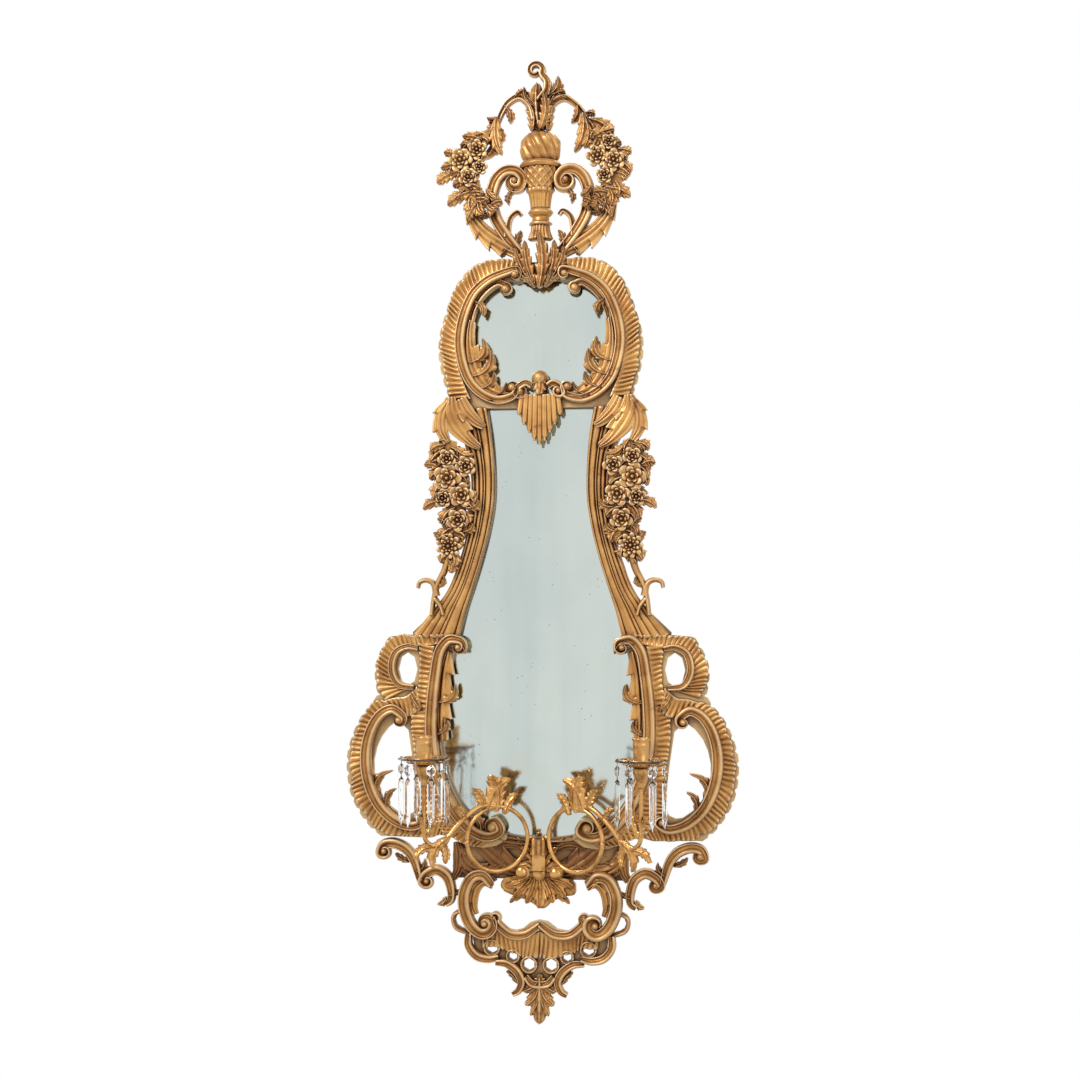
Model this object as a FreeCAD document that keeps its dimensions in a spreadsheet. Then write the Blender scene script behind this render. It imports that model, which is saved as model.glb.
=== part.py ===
import FreeCAD, Part
import math
import os

# Girandole mirror: a carved and gilded rocaille frame in two tiers, with a small plate above and a
# tall serpentine plate below, and two swivelling candle branches hung with cut-glass drops.
#
# Frame: +Z up, +X to the viewer's right, the wall in the plane Y = 0 and the front towards -Y.
# The origin lies on the wall, midway between the eyes of the two hanging plates. Millimetres.
# The frame is symmetrical, so each outline is drawn once, for the viewer's right, and used for
# side = +1 and side = -1.

doc = FreeCAD.newDocument("GirandoleMirror")
Vector = FreeCAD.Vector

# ---------------------------------------------------------------- driving dimensions

SIZES = {
    # the whole
    "overall_width": 624,
    "overall_height": 1543,
    # carcass, rebate and what lies in it
    "carcass_depth": 20,
    "rebate_depth": 12,
    "rebate_lap": 6,
    "rebate_play": 1,
    "plate_thick": 4,
    "backboard_thick": 5,
    "block_length": 24,
    "block_width": 10,
    # applied carving, in layers from the carcass forwards
    "ruffle_thick": 10,
    "scroll_thick": 11,
    "eye_rise": 5,
    "stile_thick": 10,
    "reed_height": 6,
    "crest_thick": 16,
    "leaf_thick": 7,
    "flower_thick": 12,
    "apron_thick": 8,
    "joint_gap": 0.4,
    # hanging plates
    "strap_height": 44,
    "strap_width": 16,
    "strap_thick": 2,
    "seat_play": 0.3,
    "hanger_room": 8,
    "eye_radius": 4.5,
    "eye_spacing": 240,
    "screw_radius": 1.6,
    "screw_head_radius": 3,
    "pilot_play": 0.15,
    "screw_length": 14,
    "screw_spacing": 30,
    # candle branches
    "branch_angle": 28,
    "hinge_half_span": 8,
    "hinge_depth": 50,
    "pin_radius": 3,
    "pin_length": 20,
    "pin_play": 0.25,
    "socket_wall": 2,
    "rod_radius": 3.5,
    "ring_radius": 50,
    "ring_offset": 10,
    "branch_reach": 180,
    "stem_top": 96,
    "cup_height": 24,
    "cup_radius": 13,
    # drip pan and nozzle
    "pan_radius": 40,
    "pan_thick": 3,
    "pan_rise": 7,
    "hole_circle": 36,
    "hole_radius": 1.5,
    "spigot_radius": 4,
    "spigot_length": 12,
    "spigot_play": 0.3,
    "candle_radius": 11,
    "nozzle_wall": 1.4,
    "nozzle_height": 40,
    "nozzle_floor": 5,
    "nozzle_lip": 1.5,
    "lip_height": 3,
    # drops
    "drop_count": 6,
    "wire_radius": 0.7,
    "wire_head": 2,
    "wire_head_play": 0.6,
    "wire_head_thick": 1.2,
    "wire_reach": 6,
    "drop_link": 3,
    "bead_width": 15,
    "bead_height": 17,
    "bead_thick": 8,
    "drop_width": 11,
    "drop_length": 76,
    "drop_thick": 8,
}

sheet = doc.addObject("Spreadsheet::Sheet", "sizes")
for row, (alias, number) in enumerate(SIZES.items(), 1):
    sheet.set(f"A{row}", alias)
    sheet.set(f"B{row}", str(number))
    sheet.setAlias(f"B{row}", alias)
doc.recompute()


def size(alias):
    return float(sheet.get(alias))


# The outlines are drawn in millimetres for this size and stretched with the overall size.
DRAWN_WIDTH = 624
DRAWN_HEIGHT = 1543
WIDE = size("overall_width") / DRAWN_WIDTH
TALL = size("overall_height") / DRAWN_HEIGHT


def place(point, side=1):
    """A point (x, z) of the drawing, on the right (+1) or the left (-1) of the middle."""
    return Vector(point[0] * WIDE * side, point[1] * TALL, 0)


# ---------------------------------------------------------------- curves

def tangents(points):
    """A unit direction at each point, from its neighbours, weighted towards the nearer one."""
    middle = []
    for before, here, after in zip(points, points[1:], points[2:]):
        run, rise = here - before, after - here
        weight = rise.Length / run.Length
        middle.append((run * weight + rise * (1 / weight)).normalize())
    if not middle:
        chord = (points[1] - points[0]).normalize()
        return [chord, chord]
    ends = []
    for end, near, direction in ((points[0], points[1], middle[0]),
                                 (points[-2], points[-1], middle[-1])):
        chord = (near - end).normalize()
        ends.append(chord * (2 * chord.dot(direction)) - direction)
    return [ends[0]] + middle + [ends[1]]


FLAT_SAG = 0.03    # a stretch that bows less than this share of its chord is drawn straight
GOUGE_SAG = 1.2     # carved curves are cut in flats that leave no more than this, in mm,
GOUGE_TURN = 0.7   # and that turn no more than this, in radians


def line(start, end):
    return Part.LineSegment(start, end)


def polygon(points):
    return [line(a, b) for a, b in zip(points, points[1:] + points[:1])]


def smooth(points):
    """A curve of arcs through the points, three points to each arc, and a line where it is flat."""
    curves = []
    for start, middle, end in zip(points[:-2:2], points[1:-1:2], points[2::2]):
        chord = end - start
        sag = abs(chord.cross(middle - start).z) / chord.Length
        if sag < FLAT_SAG * chord.Length:
            curves.append(line(start, end))
        else:
            curves.append(Part.Arc(start, middle, end))
    if len(points) % 2 == 0:
        curves.append(line(points[-2], points[-1]))
    return curves


def whittled(points):
    """The same run as smooth, its arcs cut in flats as a gouge leaves them."""
    flats = []
    for curve in smooth(points):
        if isinstance(curve, Part.LineSegment):
            flats.append(curve)
            continue
        edge = curve.toShape()
        radius = edge.Curve.Radius
        step = min(GOUGE_TURN, 2 * math.acos(max(0, 1 - GOUGE_SAG / radius)))
        corners = edge.discretize(Number=math.ceil(edge.Length / radius / step) + 1)
        flats += [line(a, b) for a, b in zip(corners, corners[1:])]
    return flats


def evenly(points, count):
    """Points evenly spaced along the smooth curve through the given ones, both ends included."""
    wire = Part.Wire([curve.toShape() for curve in smooth(points)])
    return wire.discretize(Number=count)


def beside(points, offset):
    """Points at the side of a run of points: a number, or one for each point; + is to the left."""
    offsets = offset if isinstance(offset, list) else [offset] * len(points)
    return [
        p + Vector(-t.y, t.x, 0) * o for p, t, o in zip(points, tangents(points), offsets)
    ]


def band(spine, start_width, middle_width, end_width):
    """The outline of a scroll: it swells from one width to another and is cut square at its ends."""
    widths = []
    for i in range(len(spine)):
        share = i / (len(spine) - 1)
        end = start_width if share < 0.5 else end_width
        widths.append(end + (middle_width - end) * math.sin(math.pi * share) ** 0.7)
    left = beside(spine, [w / 2 for w in widths])
    right = beside(spine, [-w / 2 for w in widths])
    return whittled(left) + whittled(right) + [line(left[0], right[0]), line(left[-1], right[-1])]


def scallops(points, count, bulge):
    """A frilled edge: lobes cut in three flats, to the right of the curve where bulge is positive."""
    knots = evenly(points, count + 1)
    edge = knots[:1]
    for start, end in zip(knots, knots[1:]):
        run = end - start
        out = Vector(run.y, -run.x, 0).normalize() * bulge
        edge += [start + run * 0.25 + out, start + run * 0.75 + out, end]
    return [line(a, b) for a, b in zip(edge, edge[1:])]


def frilled_band(spine, widths, count, bulge):
    """A leafy garland: both its sides are frilled."""
    left = beside(spine, [w / 2 for w in widths])
    right = beside(spine, [-w / 2 for w in widths])
    curves = scallops(left, count, -bulge) + scallops(right, count, bulge)
    return curves + [line(left[0], right[0]), line(left[-1], right[-1])]


def disc(centre, radius):
    return [Part.Circle(centre, Vector(0, 0, 1), radius)]


def facets(centre, radius, count=8):
    """A carved button: a regular polygon."""
    turns = [2 * math.pi * (i + 0.5) / count for i in range(count)]
    return polygon([centre + Vector(math.cos(a), math.sin(a), 0) * radius for a in turns])


def petals(centre, radius, count, turn=0.0):
    """The outline of a flower: two edges to each pointed petal."""
    corners = []
    for i in range(2 * count):
        a = turn + math.pi * i / count
        r = radius if i % 2 else 0.66 * radius
        corners.append(centre + Vector(math.cos(a), math.sin(a), 0) * r)
    return polygon(corners)


def leaf(base, tip, width, lobes=2, lean=0.0):
    """An acanthus leaf: lobed sides that swell from the base and run out to a point.

    lean bends the midrib sideways by that share of its length.
    """
    run = tip - base
    across = Vector(-run.y, run.x, 0).normalize()

    def rib(share):
        return base + run * share + across * (lean * run.Length * math.sin(math.pi * share))

    def half(share):
        return 0.5 * width * math.sin(math.pi * (0.12 + 0.88 * share)) ** 0.8

    def flank(hand):
        corners = [rib(0) + across * hand * half(0)]
        for i in range(lobes):
            low, high = i / lobes, (i + 1) / lobes
            corners.append(rib(low + 0.75 / lobes) + across * hand * half(low + 0.5 / lobes) * 1.1)
            if i < lobes - 1:
                corners.append(rib(high) + across * hand * half(high) * 0.6)
        return corners

    return polygon(flank(1) + [tip] + flank(-1)[::-1])


def mirrored_loop(points):
    """A closed outline drawn from the top middle down the right to the bottom middle."""
    right = smooth([place(p) for p in points])
    left = smooth([place(p, -1) for p in points])
    return right + left


# ---------------------------------------------------------------- pieces

nodes = []


def origin_plane(body, role):
    return next(o for o in body.Origin.OriginFeatures if o.Role == role)


def new_body(label):
    body = doc.addObject("PartDesign::Body", label)
    body.Label = label
    nodes.append(body)
    return body


def new_sketch(body, name, curves, plane="XZ_Plane", offset="0"):
    """A sketch on one of the body's own planes; the offset is along the plane's normal."""
    sketch = body.newObject("Sketcher::SketchObject", f"{body.Label}_{name}")
    sketch.AttachmentSupport = [(origin_plane(body, plane), "")]
    sketch.MapMode = "FlatFace"
    sketch.addGeometry(curves)
    sketch.setExpression(".AttachmentOffset.Base.z", offset)
    return sketch


def pad(body, name, curves, back, thick, plane="XZ_Plane", backwards=False):
    """A layer of a carved piece: it starts at the depth back and stands thick forwards."""
    feature = body.newObject("PartDesign::Pad", f"{body.Label}_{name}_pad")
    feature.Profile = new_sketch(body, name, curves, plane, back)
    feature.setExpression("Length", thick)
    feature.Reversed = backwards
    return feature


def pocket(body, name, curves, depth=None, back="0", plane="XZ_Plane"):
    """A cut forwards from the depth back, or right through when no depth is given."""
    feature = body.newObject("PartDesign::Pocket", f"{body.Label}_{name}_cut")
    feature.Profile = new_sketch(body, name, curves, plane, back)
    if depth is None:
        feature.Type = "ThroughAll"
        feature.Midplane = True
    else:
        feature.Reversed = True
        feature.setExpression("Length", depth)
    return feature


def loft(body, name, sections, cut=False):
    """A faceted cup or dish, straight from one polygon to the next: (centre, radius, height, sides)."""
    kind = "PartDesign::SubtractiveLoft" if cut else "PartDesign::AdditiveLoft"
    sketches = [
        new_sketch(body, f"{name}_{i}", facets(centre, radius, count), "XY_Plane", str(z))
        for i, (centre, radius, z, count) in enumerate(sections)
    ]
    feature = body.newObject(kind, f"{body.Label}_{name}_loft")
    feature.Profile = sketches[0]
    feature.Sections = sketches[1:]
    feature.Ruled = True
    return feature


def side_name(side, rest):
    return ("right_" if side > 0 else "left_") + rest


FRONT = "sizes.carcass_depth"
ON_RUFFLE = "sizes.carcass_depth + sizes.ruffle_thick"
ON_STILE = "sizes.carcass_depth + sizes.stile_thick + sizes.reed_height"
ON_CREST = "sizes.carcass_depth + sizes.crest_thick"
ON_APRON = "sizes.carcass_depth + sizes.apron_thick"


def scroll_layers(body, name, spine, widths, back, eyes=()):
    """A carved scroll: a band that swells along its spine, and a raised button in each volute."""
    pad(body, name, band(spine, *widths), back, "sizes.scroll_thick")
    for i, (centre, radius) in enumerate(eyes):
        pad(body, f"{name}_eye_{i}", facets(centre, radius), back, "sizes.scroll_thick + sizes.eye_rise")


# ---------------------------------------------------------------- outlines, right half

SIGHT_UPPER = [(0, 179.2), (38.4, 177.6), (70.4, 169.6), (92.8, 153.6), (108.8, 129.6), (116.8, 97.6), (116.8, 68.8), (108.8, 36.8),
               (89.6, 9.6), (64, -4.8), (32, -6.4), (0, -6.4)]
SIGHT_LOWER = [(86.4, -28.8), (78.4, -80), (74.6, -136), (75.7, -180.8), (83.2, -225.6), (94.4, -270.4), (107.2, -312),
               (120, -352), (131.2, -388.8), (140.8, -430.4), (152, -475.2), (160, -515.2), (162.4, -555.2), (155.2, -600),
               (140.8, -641.6), (118.4, -675.2), (83.2, -699.2), (44.8, -712), (0, -715.2)]
SIGHT_TOP = (86.4, -28.8)[1]

CARCASS_TOP = [(0, 208), (48, 206.4), (86.4, 198.4), (113.6, 179.2), (131.2, 153.6), (142.4, 123.2), (150.4, 84.8),
               (150.4, 49.6), (144, 17.6), (137.6, -4.8)]
STILE_OUTER = [(139.2, -28.8), (134.4, -59.2), (120, -91.2), (112, -139.2), (113.6, -195.2), (121.6, -243.2), (134.4, -286.4),
               (150.4, -324.8), (176, -358.4), (208, -388.8)]
STILE_LOWER = [(208, -392), (193.6, -411.2), (188.8, -446.4), (190.4, -483.2), (196.8, -516.8), (200, -555.2), (195.2, -600),
               (182.4, -638.4), (172.8, -651.2)]
BOARD_JOINT = (0, -651.2)[1]
BOTTOM_OUTER = [(172.8, -651.2), (168, -683.2), (153.6, -710.4)]
BOTTOM_FOOT = [(134.4, -718.4), (132.8, -750.4), (142.4, -780.8)]

RUFFLE_OUTER = [(32, 204.8), (70.4, 209.6), (102.4, 203.2), (126.4, 180.8), (140.8, 156.8), (150.4, 129.6), (158.4, 100.8),
                (162.4, 68.8), (156.8, 30.4), (150.4, 4.8), (142.4, -14.4)]
UPPER_RING = [(38.4, 193.6), (59.2, 180.8), (80, 174.4), (99.2, 161.6), (113.6, 140.8), (123.2, 112), (126.4, 76.8),
              (123.2, 44.8), (112, 19.2), (92.8, -1.6), (68.8, -14.4), (48, -11.2), (43.2, 4.8)]
RING_LEAVES = (((115.2, 36.8), (89.6, 73.6), 24), ((108.8, 17.6), (80, 52.8), 22.4), ((92.8, -1.6), (78.4, 14.4), 14.4))

SIDE_OUTER = [(209.6, -392.8), (240, -395.2), (252.8, -414.4), (262.4, -433.6), (265.6, -454.4), (262.4, -475.2), (260.8, -494.4),
              (275.2, -508.8), (291.2, -532.8), (303.2, -560), (310.4, -593.6), (308, -625.6), (301.6, -654.4), (286.4, -680),
              (268.8, -702.4), (249.6, -715.2)]
SIDE_FOOT = [(249.6, -715.2), (217.6, -717.6), (179.2, -716.8), (156.8, -712), (128, -723.2), (96, -731.2), (70.4, -728), (52.8, -716.8)]
EAR_OPENING = [(214.4, -420.8), (225.6, -428.8), (230.4, -448), (225.6, -467.2), (214.4, -475.2), (203.2, -467.2), (198.4, -448), (203.2, -428.8)]
WING_OPENING = [(230.4, -529.6), (251.2, -547.2), (265.6, -574.4), (270.4, -603.2), (264, -635.2), (248, -662.4), (225.6, -680),
                (206.4, -678.4), (198.4, -656), (200, -632), (204.8, -600), (208, -571.2), (212.8, -545.6)]
SIDE_SCROLL = [(129.6, -404.8), (145.6, -403.2), (158.4, -422.4), (164.8, -456), (171.2, -499.2), (174.4, -547.2), (169.6, -595.2),
               (155.2, -638.4), (134.4, -675.2), (108.8, -702.4), (83.2, -713.6), (64, -704), (68.8, -689.6)]
EAR_RING = [(198.4, -408), (220.8, -404.8), (238.4, -420.8), (244.8, -448), (238.4, -475.2), (220.8, -489.6), (201.6, -486.4)]
WING_SCROLL = [(222.4, -521.6), (238.4, -512), (257.6, -521.6), (272, -544), (280, -574.4), (280, -606.4), (272, -640),
               (256, -668.8), (232, -689.6), (204.8, -697.6), (187.2, -689.6)]
WING_LEAF = [(249.6, -672), (259.2, -649.6), (256, -628.8), (238.4, -612.8)]

FOOT_SCROLLS = {
    "upper": [(259.2, -742.4), (252.8, -729.6), (235.2, -727.2), (216, -736), (203.2, -753.6), (193.6, -785.6)],
    "lower": [(190.4, -785.6), (182.4, -774.4), (166.4, -768), (150.4, -777.6), (143.2, -796.8), (143.2, -814.4), (152, -822.4)],
}

APRON_SCROLL = [(75.2, -785.6), (96, -772.8), (115.2, -784), (123.2, -811.2), (118.4, -840), (100.8, -857.6), (86.4, -849.6)]
FESTOON = [(75.2, -841.6), (64, -857.6), (46.4, -867.2), (24, -864), (9.6, -852.8)]
SHELL_EDGE = [(105.6, -862.4), (107.2, -881.6), (99.2, -897.6), (80, -908.8), (60.8, -913.6), (43.2, -923.2), (30.4, -937.6), (25.6, -948.8)]
SHELL_HOLES = (((76.8, -888), 9.6), ((43.2, -900.8), 7.2), ((17.6, -913.6), 9.6))
APRON_LOOP = [(126.4, -830.4), (139.2, -843.2), (128, -860.8), (99.2, -868.8)]

BRACKET_SHELL = [(0, -756.8), (19.2, -750.4), (35.2, -758.4), (36.8, -776), (54.4, -782.4), (57.6, -798.4), (38.4, -806.4), (19.2, -811.2),
                 (0, -824)]

URN_PROFILE = [(16.8, 421.6), (28.8, 404.8), (32, 388.8), (27.2, 371.2), (30.4, 364.8), (20, 324.8), (12, 299.2),
               (15.2, 289.6), (17.6, 248)]
CREST_STEM = [(12.8, 251.2), (12.8, 219.2), (8, 200), (9.6, 180.8)]
PALMETTE = [(14.4, 251.2), (19.2, 232), (19.2, 209.6), (30.4, 185.6), (20.8, 172.8), (0, 161.6)]
CREST_SCROLL = [(43.2, 329.6), (33.6, 339.2), (41.6, 352), (57.6, 353.6), (72, 339.2), (80, 312), (75.2, 283.2),
                (59.2, 254.4), (40, 228.8), (24, 209.6), (20.8, 190.4)]
CREST_SPRIG = [(56, 249.6), (48, 264), (49.6, 280), (35.2, 284.8)]
CREST_BRANCH = [(118.4, 296), (105.6, 270.4), (83.2, 251.2), (57.6, 236.8), (28.8, 224)]
PLUME_BRANCH = [(8, 440), (17.6, 465.6), (35.2, 476.8), (52.8, 468.8), (62.4, 449.6), (80, 425.6)]
FINIAL = [(6.4, 475.2), (11.2, 504), (-1.6, 520)]
FINIAL_CURL = (-9.6, 524.8)

# garlands as spines with their widths, flowers as (place, radius, petals), leaves as (base, tip, width)
SPRAY = [(88, 417.6), (99.2, 395.2), (113.6, 372.8), (118.4, 350.4), (112, 324.8), (96, 304), (70.4, 300.8)]
SPRAY_WIDTHS = [19.2, 38.4, 41.6, 38.4, 32, 19.2, 11.2]
SPRAY_FLOWERS = (((118.4, 385.6), 17.6, 6), ((123.2, 360), 14.4, 5), ((105.6, 339.2), 16, 6))
SPRAY_LEAVES = (((76.8, 404.8), (57.6, 377.6), 16), ((128, 344), (156.8, 336), 20.8), ((108.8, 315.2), (139.2, 294.4), 24))
SWAG = [(140.8, -89.6), (148.8, -105.6), (150.4, -131.2), (140.8, -163.2), (134.4, -190.4), (140.8, -219.2), (144, -243.2), (144, -267.2), (147.2, -276.8)]
SWAG_WIDTHS = [28.8, 51.2, 48, 54.4, 48, 38.4, 38.4, 32, 12.8]
SWAG_FLOWERS = (((140.8, -107.2), 19.2, 6), ((160, -148.8), 16, 5), ((131.2, -168), 19.2, 6), ((140.8, -209.6), 16, 5),
                ((144, -254.4), 19.2, 8))
SWAG_LEAVES = (((156.8, -129.6), (180.8, -124.8), 19.2), ((132.8, -112), (99.2, -104), 20.8), ((155.2, -174.4), (187.2, -190.4), 17.6),
               ((121.6, -203.2), (97.6, -209.6), 20.8))
TWIG = [(147.2, -267.2), (152, -289.6), (164.8, -312), (169.6, -337.6), (174.4, -360)]
TWIG_CURL = [(168, -318.4), (180.8, -308.8), (195.2, -312), (203.2, -326.4)]
# leaves as (base, tip, width)
SHOULDER_LEAVES = (((147.2, -14.4), (116.8, -80), 32), ((150.4, -20.8), (145.6, -72), 25.6), ((131.2, -14.4), (96, -56), 24))


# ---------------------------------------------------------------- carcass and plates

def plate_outline(points, margin, top=None):
    """The plate lies a margin beyond the sight edge; the lower one has a straight top."""
    half = [place(p) for p in points]
    wider = beside(half, margin)
    wider[-1] = Vector(0, half[-1].y - margin, 0)
    if top is None:
        wider[0] = Vector(0, half[0].y + margin, 0)
    else:
        wider[0] = Vector(half[0].x + margin, half[0].y + margin, 0)
    right = smooth(wider)
    left = smooth([Vector(-p.x, p.y, 0) for p in wider])
    cap = [] if top is None else [line(wider[0], Vector(-wider[0].x, wider[0].y, 0))]
    return right + left + cap


def sight_loop(points, top=None):
    cap = [] if top is None else [line(place(points[0]), place(points[0], -1))]
    return mirrored_loop(points) + cap


def open_sight(body, points, name, top=None):
    """The sight opening right through and the rebate behind it for the plate."""
    margin = size("rebate_lap") + size("rebate_play")
    pocket(body, name + "_sight", sight_loop(points, top))
    pocket(body, name + "_rebate", plate_outline(points, margin, top), "sizes.rebate_depth")


upper_carcass = new_body("upper_carcass")
shoulder = place(STILE_OUTER[0])
outline = mirrored_loop(CARCASS_TOP)
for side in (1, -1):
    corner = Vector(shoulder.x * side, shoulder.y, 0)
    outline.append(line(place(CARCASS_TOP[-1], side), corner))
outline.append(line(shoulder, Vector(-shoulder.x, shoulder.y, 0)))
pad(upper_carcass, "board", outline, "0", FRONT)
open_sight(upper_carcass, SIGHT_UPPER, "upper")
margin = size("rebate_lap") + size("rebate_play")
corner = place(SIGHT_LOWER[0])
lip = [Vector(x, y, 0) for x, y in (
    (corner.x + margin, shoulder.y - margin), (corner.x + margin, corner.y + margin),
    (-corner.x - margin, corner.y + margin), (-corner.x - margin, shoulder.y - margin))]
pocket(upper_carcass, "lower_rebate", polygon(lip), "sizes.rebate_depth")
for side in (1, -1):
    x = side * size("eye_spacing") / 2
    w, h = (size(s) / 2 + size("seat_play") for s in ("strap_width", "strap_height"))
    seat = [Vector(x - w, -h, 0), Vector(x + w, -h, 0), Vector(x + w, h, 0), Vector(x - w, h, 0)]
    tag = side_name(side, "strap")
    pocket(upper_carcass, tag, polygon(seat), "sizes.strap_thick")
    pocket(upper_carcass, tag + "_relief", facets(Vector(x, 0, 0), size("eye_radius") + 3),
           "sizes.strap_thick + sizes.hanger_room")
    for k in (1, -1):
        z = k * size("screw_spacing") / 2
        pocket(upper_carcass, f"{tag}_pilot_{k + 1}",
               facets(Vector(x, z, 0), size("screw_radius") + size("pilot_play"), 6),
               "sizes.screw_length + sizes.seat_play")

for side in (1, -1):
    board = new_body(side_name(side, "stile_board"))
    inner_top, inner_foot = place((64, SIGHT_TOP), side), place((64, BOARD_JOINT), side)
    outer = [place(p, side) for p in STILE_OUTER]
    lower = [place(p, side) for p in STILE_LOWER]
    outline = smooth(outer) + [line(outer[-1], lower[0])] + smooth(lower)
    outline += [line(lower[-1], inner_foot), line(inner_foot, inner_top), line(inner_top, outer[0])]
    pad(board, "board", outline, "0", FRONT)
    open_sight(board, SIGHT_LOWER, "lower", SIGHT_TOP)

bottom_board = new_body("bottom_board")
outline = []
for side in (1, -1):
    upper = [place(p, side) for p in BOTTOM_OUTER]
    foot = [place(p, side) for p in BOTTOM_FOOT]
    outline += smooth(upper) + [line(upper[-1], foot[0])] + smooth(foot)
outline.append(line(place(BOTTOM_FOOT[-1]), place(BOTTOM_FOOT[-1], -1)))
outline.append(line(place(BOTTOM_OUTER[0]), place(BOTTOM_OUTER[0], -1)))
pad(bottom_board, "board", outline, "0", FRONT)
open_sight(bottom_board, SIGHT_LOWER, "lower", SIGHT_TOP)

for tier, points, top in (("upper", SIGHT_UPPER, None), ("lower", SIGHT_LOWER, SIGHT_TOP)):
    plate = new_body(f"{tier}_mirror_plate")
    pad(plate, "glass", plate_outline(points, size("rebate_lap"), top),
        "sizes.rebate_depth - sizes.plate_thick", "sizes.plate_thick")
    back = new_body(f"{tier}_backboard")
    pad(back, "board", plate_outline(points, size("rebate_lap"), top),
        "sizes.rebate_depth - sizes.plate_thick - sizes.backboard_thick", "sizes.backboard_thick")

blocks = new_body("backboard_blocks")
block_spots = []
for points, picks in ((SIGHT_UPPER, (3, 6)), (SIGHT_LOWER, (2, 6, 10, 13, 16))):
    half = [place(p) for p in points]
    inset = size("rebate_lap") - size("block_width") / 2
    rows = beside(half, inset)
    for i in picks:
        block_spots.append((rows[i], tangents(half)[i]))
block_curves = []
for spot, along in block_spots:
    for side in (1, -1):
        u = Vector(along.x * side, along.y, 0) * (size("block_length") / 2)
        v = Vector(-along.y * side, along.x, 0) * (size("block_width") / 2)
        c = Vector(spot.x * side, spot.y, 0)
        block_curves += polygon([c - u - v, c + u - v, c + u + v, c - u + v])
pad(blocks, "block", block_curves, "0",
    "sizes.rebate_depth - sizes.plate_thick - sizes.backboard_thick")

# ---------------------------------------------------------------- upper frame

PENDANT_HALF = 32.8
for side in (1, -1):
    ruffle = new_body(side_name(side, "upper_ruffle"))
    rim = [place(p, side) for p in RUFFLE_OUTER]
    foot = place(STILE_OUTER[0], side)
    inside = [foot, Vector(side * PENDANT_HALF, foot.y, 0), Vector(side * PENDANT_HALF, 0, 0),
              Vector(rim[0].x, 0, 0)]
    outline = scallops(rim, 15, -3.8 * side) + [line(rim[-1], foot), line(inside[-1], rim[0])]
    outline += [line(a, b) for a, b in zip(inside, inside[1:])]
    pad(ruffle, "panel", outline, FRONT, "sizes.ruffle_thick")
    pocket(ruffle, "sight", sight_loop(SIGHT_UPPER))

    ring = new_body(side_name(side, "upper_scroll"))
    spine = [place(p, side) for p in UPPER_RING]
    eyes = ((place((40, 192), side), 9.6), (place((46.4, 4.8), side), 8))
    scroll_layers(ring, "ring", spine, (9.6, 16, 8), ON_RUFFLE, eyes)
    for i, (base, tip, width) in enumerate(RING_LEAVES):
        curves = leaf(place(base, side), place(tip, side), width, lean=-0.1 * side)
        pad(ring, f"leaf_{i}", curves, ON_RUFFLE, f"sizes.scroll_thick + {2 - i}")

pendant = new_body("middle_pendant")
root_half, root_top = PENDANT_HALF - 1, (0, 8)[1]
root = [Vector(x, place((0, z)).y, 0) for x, z in (
    (-root_half, root_top), (root_half, root_top), (root_half, SIGHT_TOP), (-root_half, SIGHT_TOP))]
pad(pendant, "root", polygon(root), FRONT, "sizes.ruffle_thick + 2")
pad(pendant, "button", facets(place((0, 14.4)), 13.6), FRONT, "sizes.ruffle_thick + 10")
ROD_COUNT = 9
ROD_WIDTH = 9
for i in range(ROD_COUNT):
    away = i - (ROD_COUNT - 1) / 2
    top = SIGHT_TOP - 1 if abs(away) > 3 else (0, -4.8)[1]
    drop = (0, -88)[1] + 10.2 * abs(away) ** 1.05
    x = away * ROD_WIDTH
    spine = [place((x, top)), place((x, (top + drop) / 2)), place((x, drop + ROD_WIDTH / 2))]
    pad(pendant, f"rod_{i}", band(spine, ROD_WIDTH, ROD_WIDTH + 0.8, ROD_WIDTH), FRONT,
        f"sizes.ruffle_thick + {4 + 2 * (i % 2)}")


# ---------------------------------------------------------------- stiles and shoulders

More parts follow.
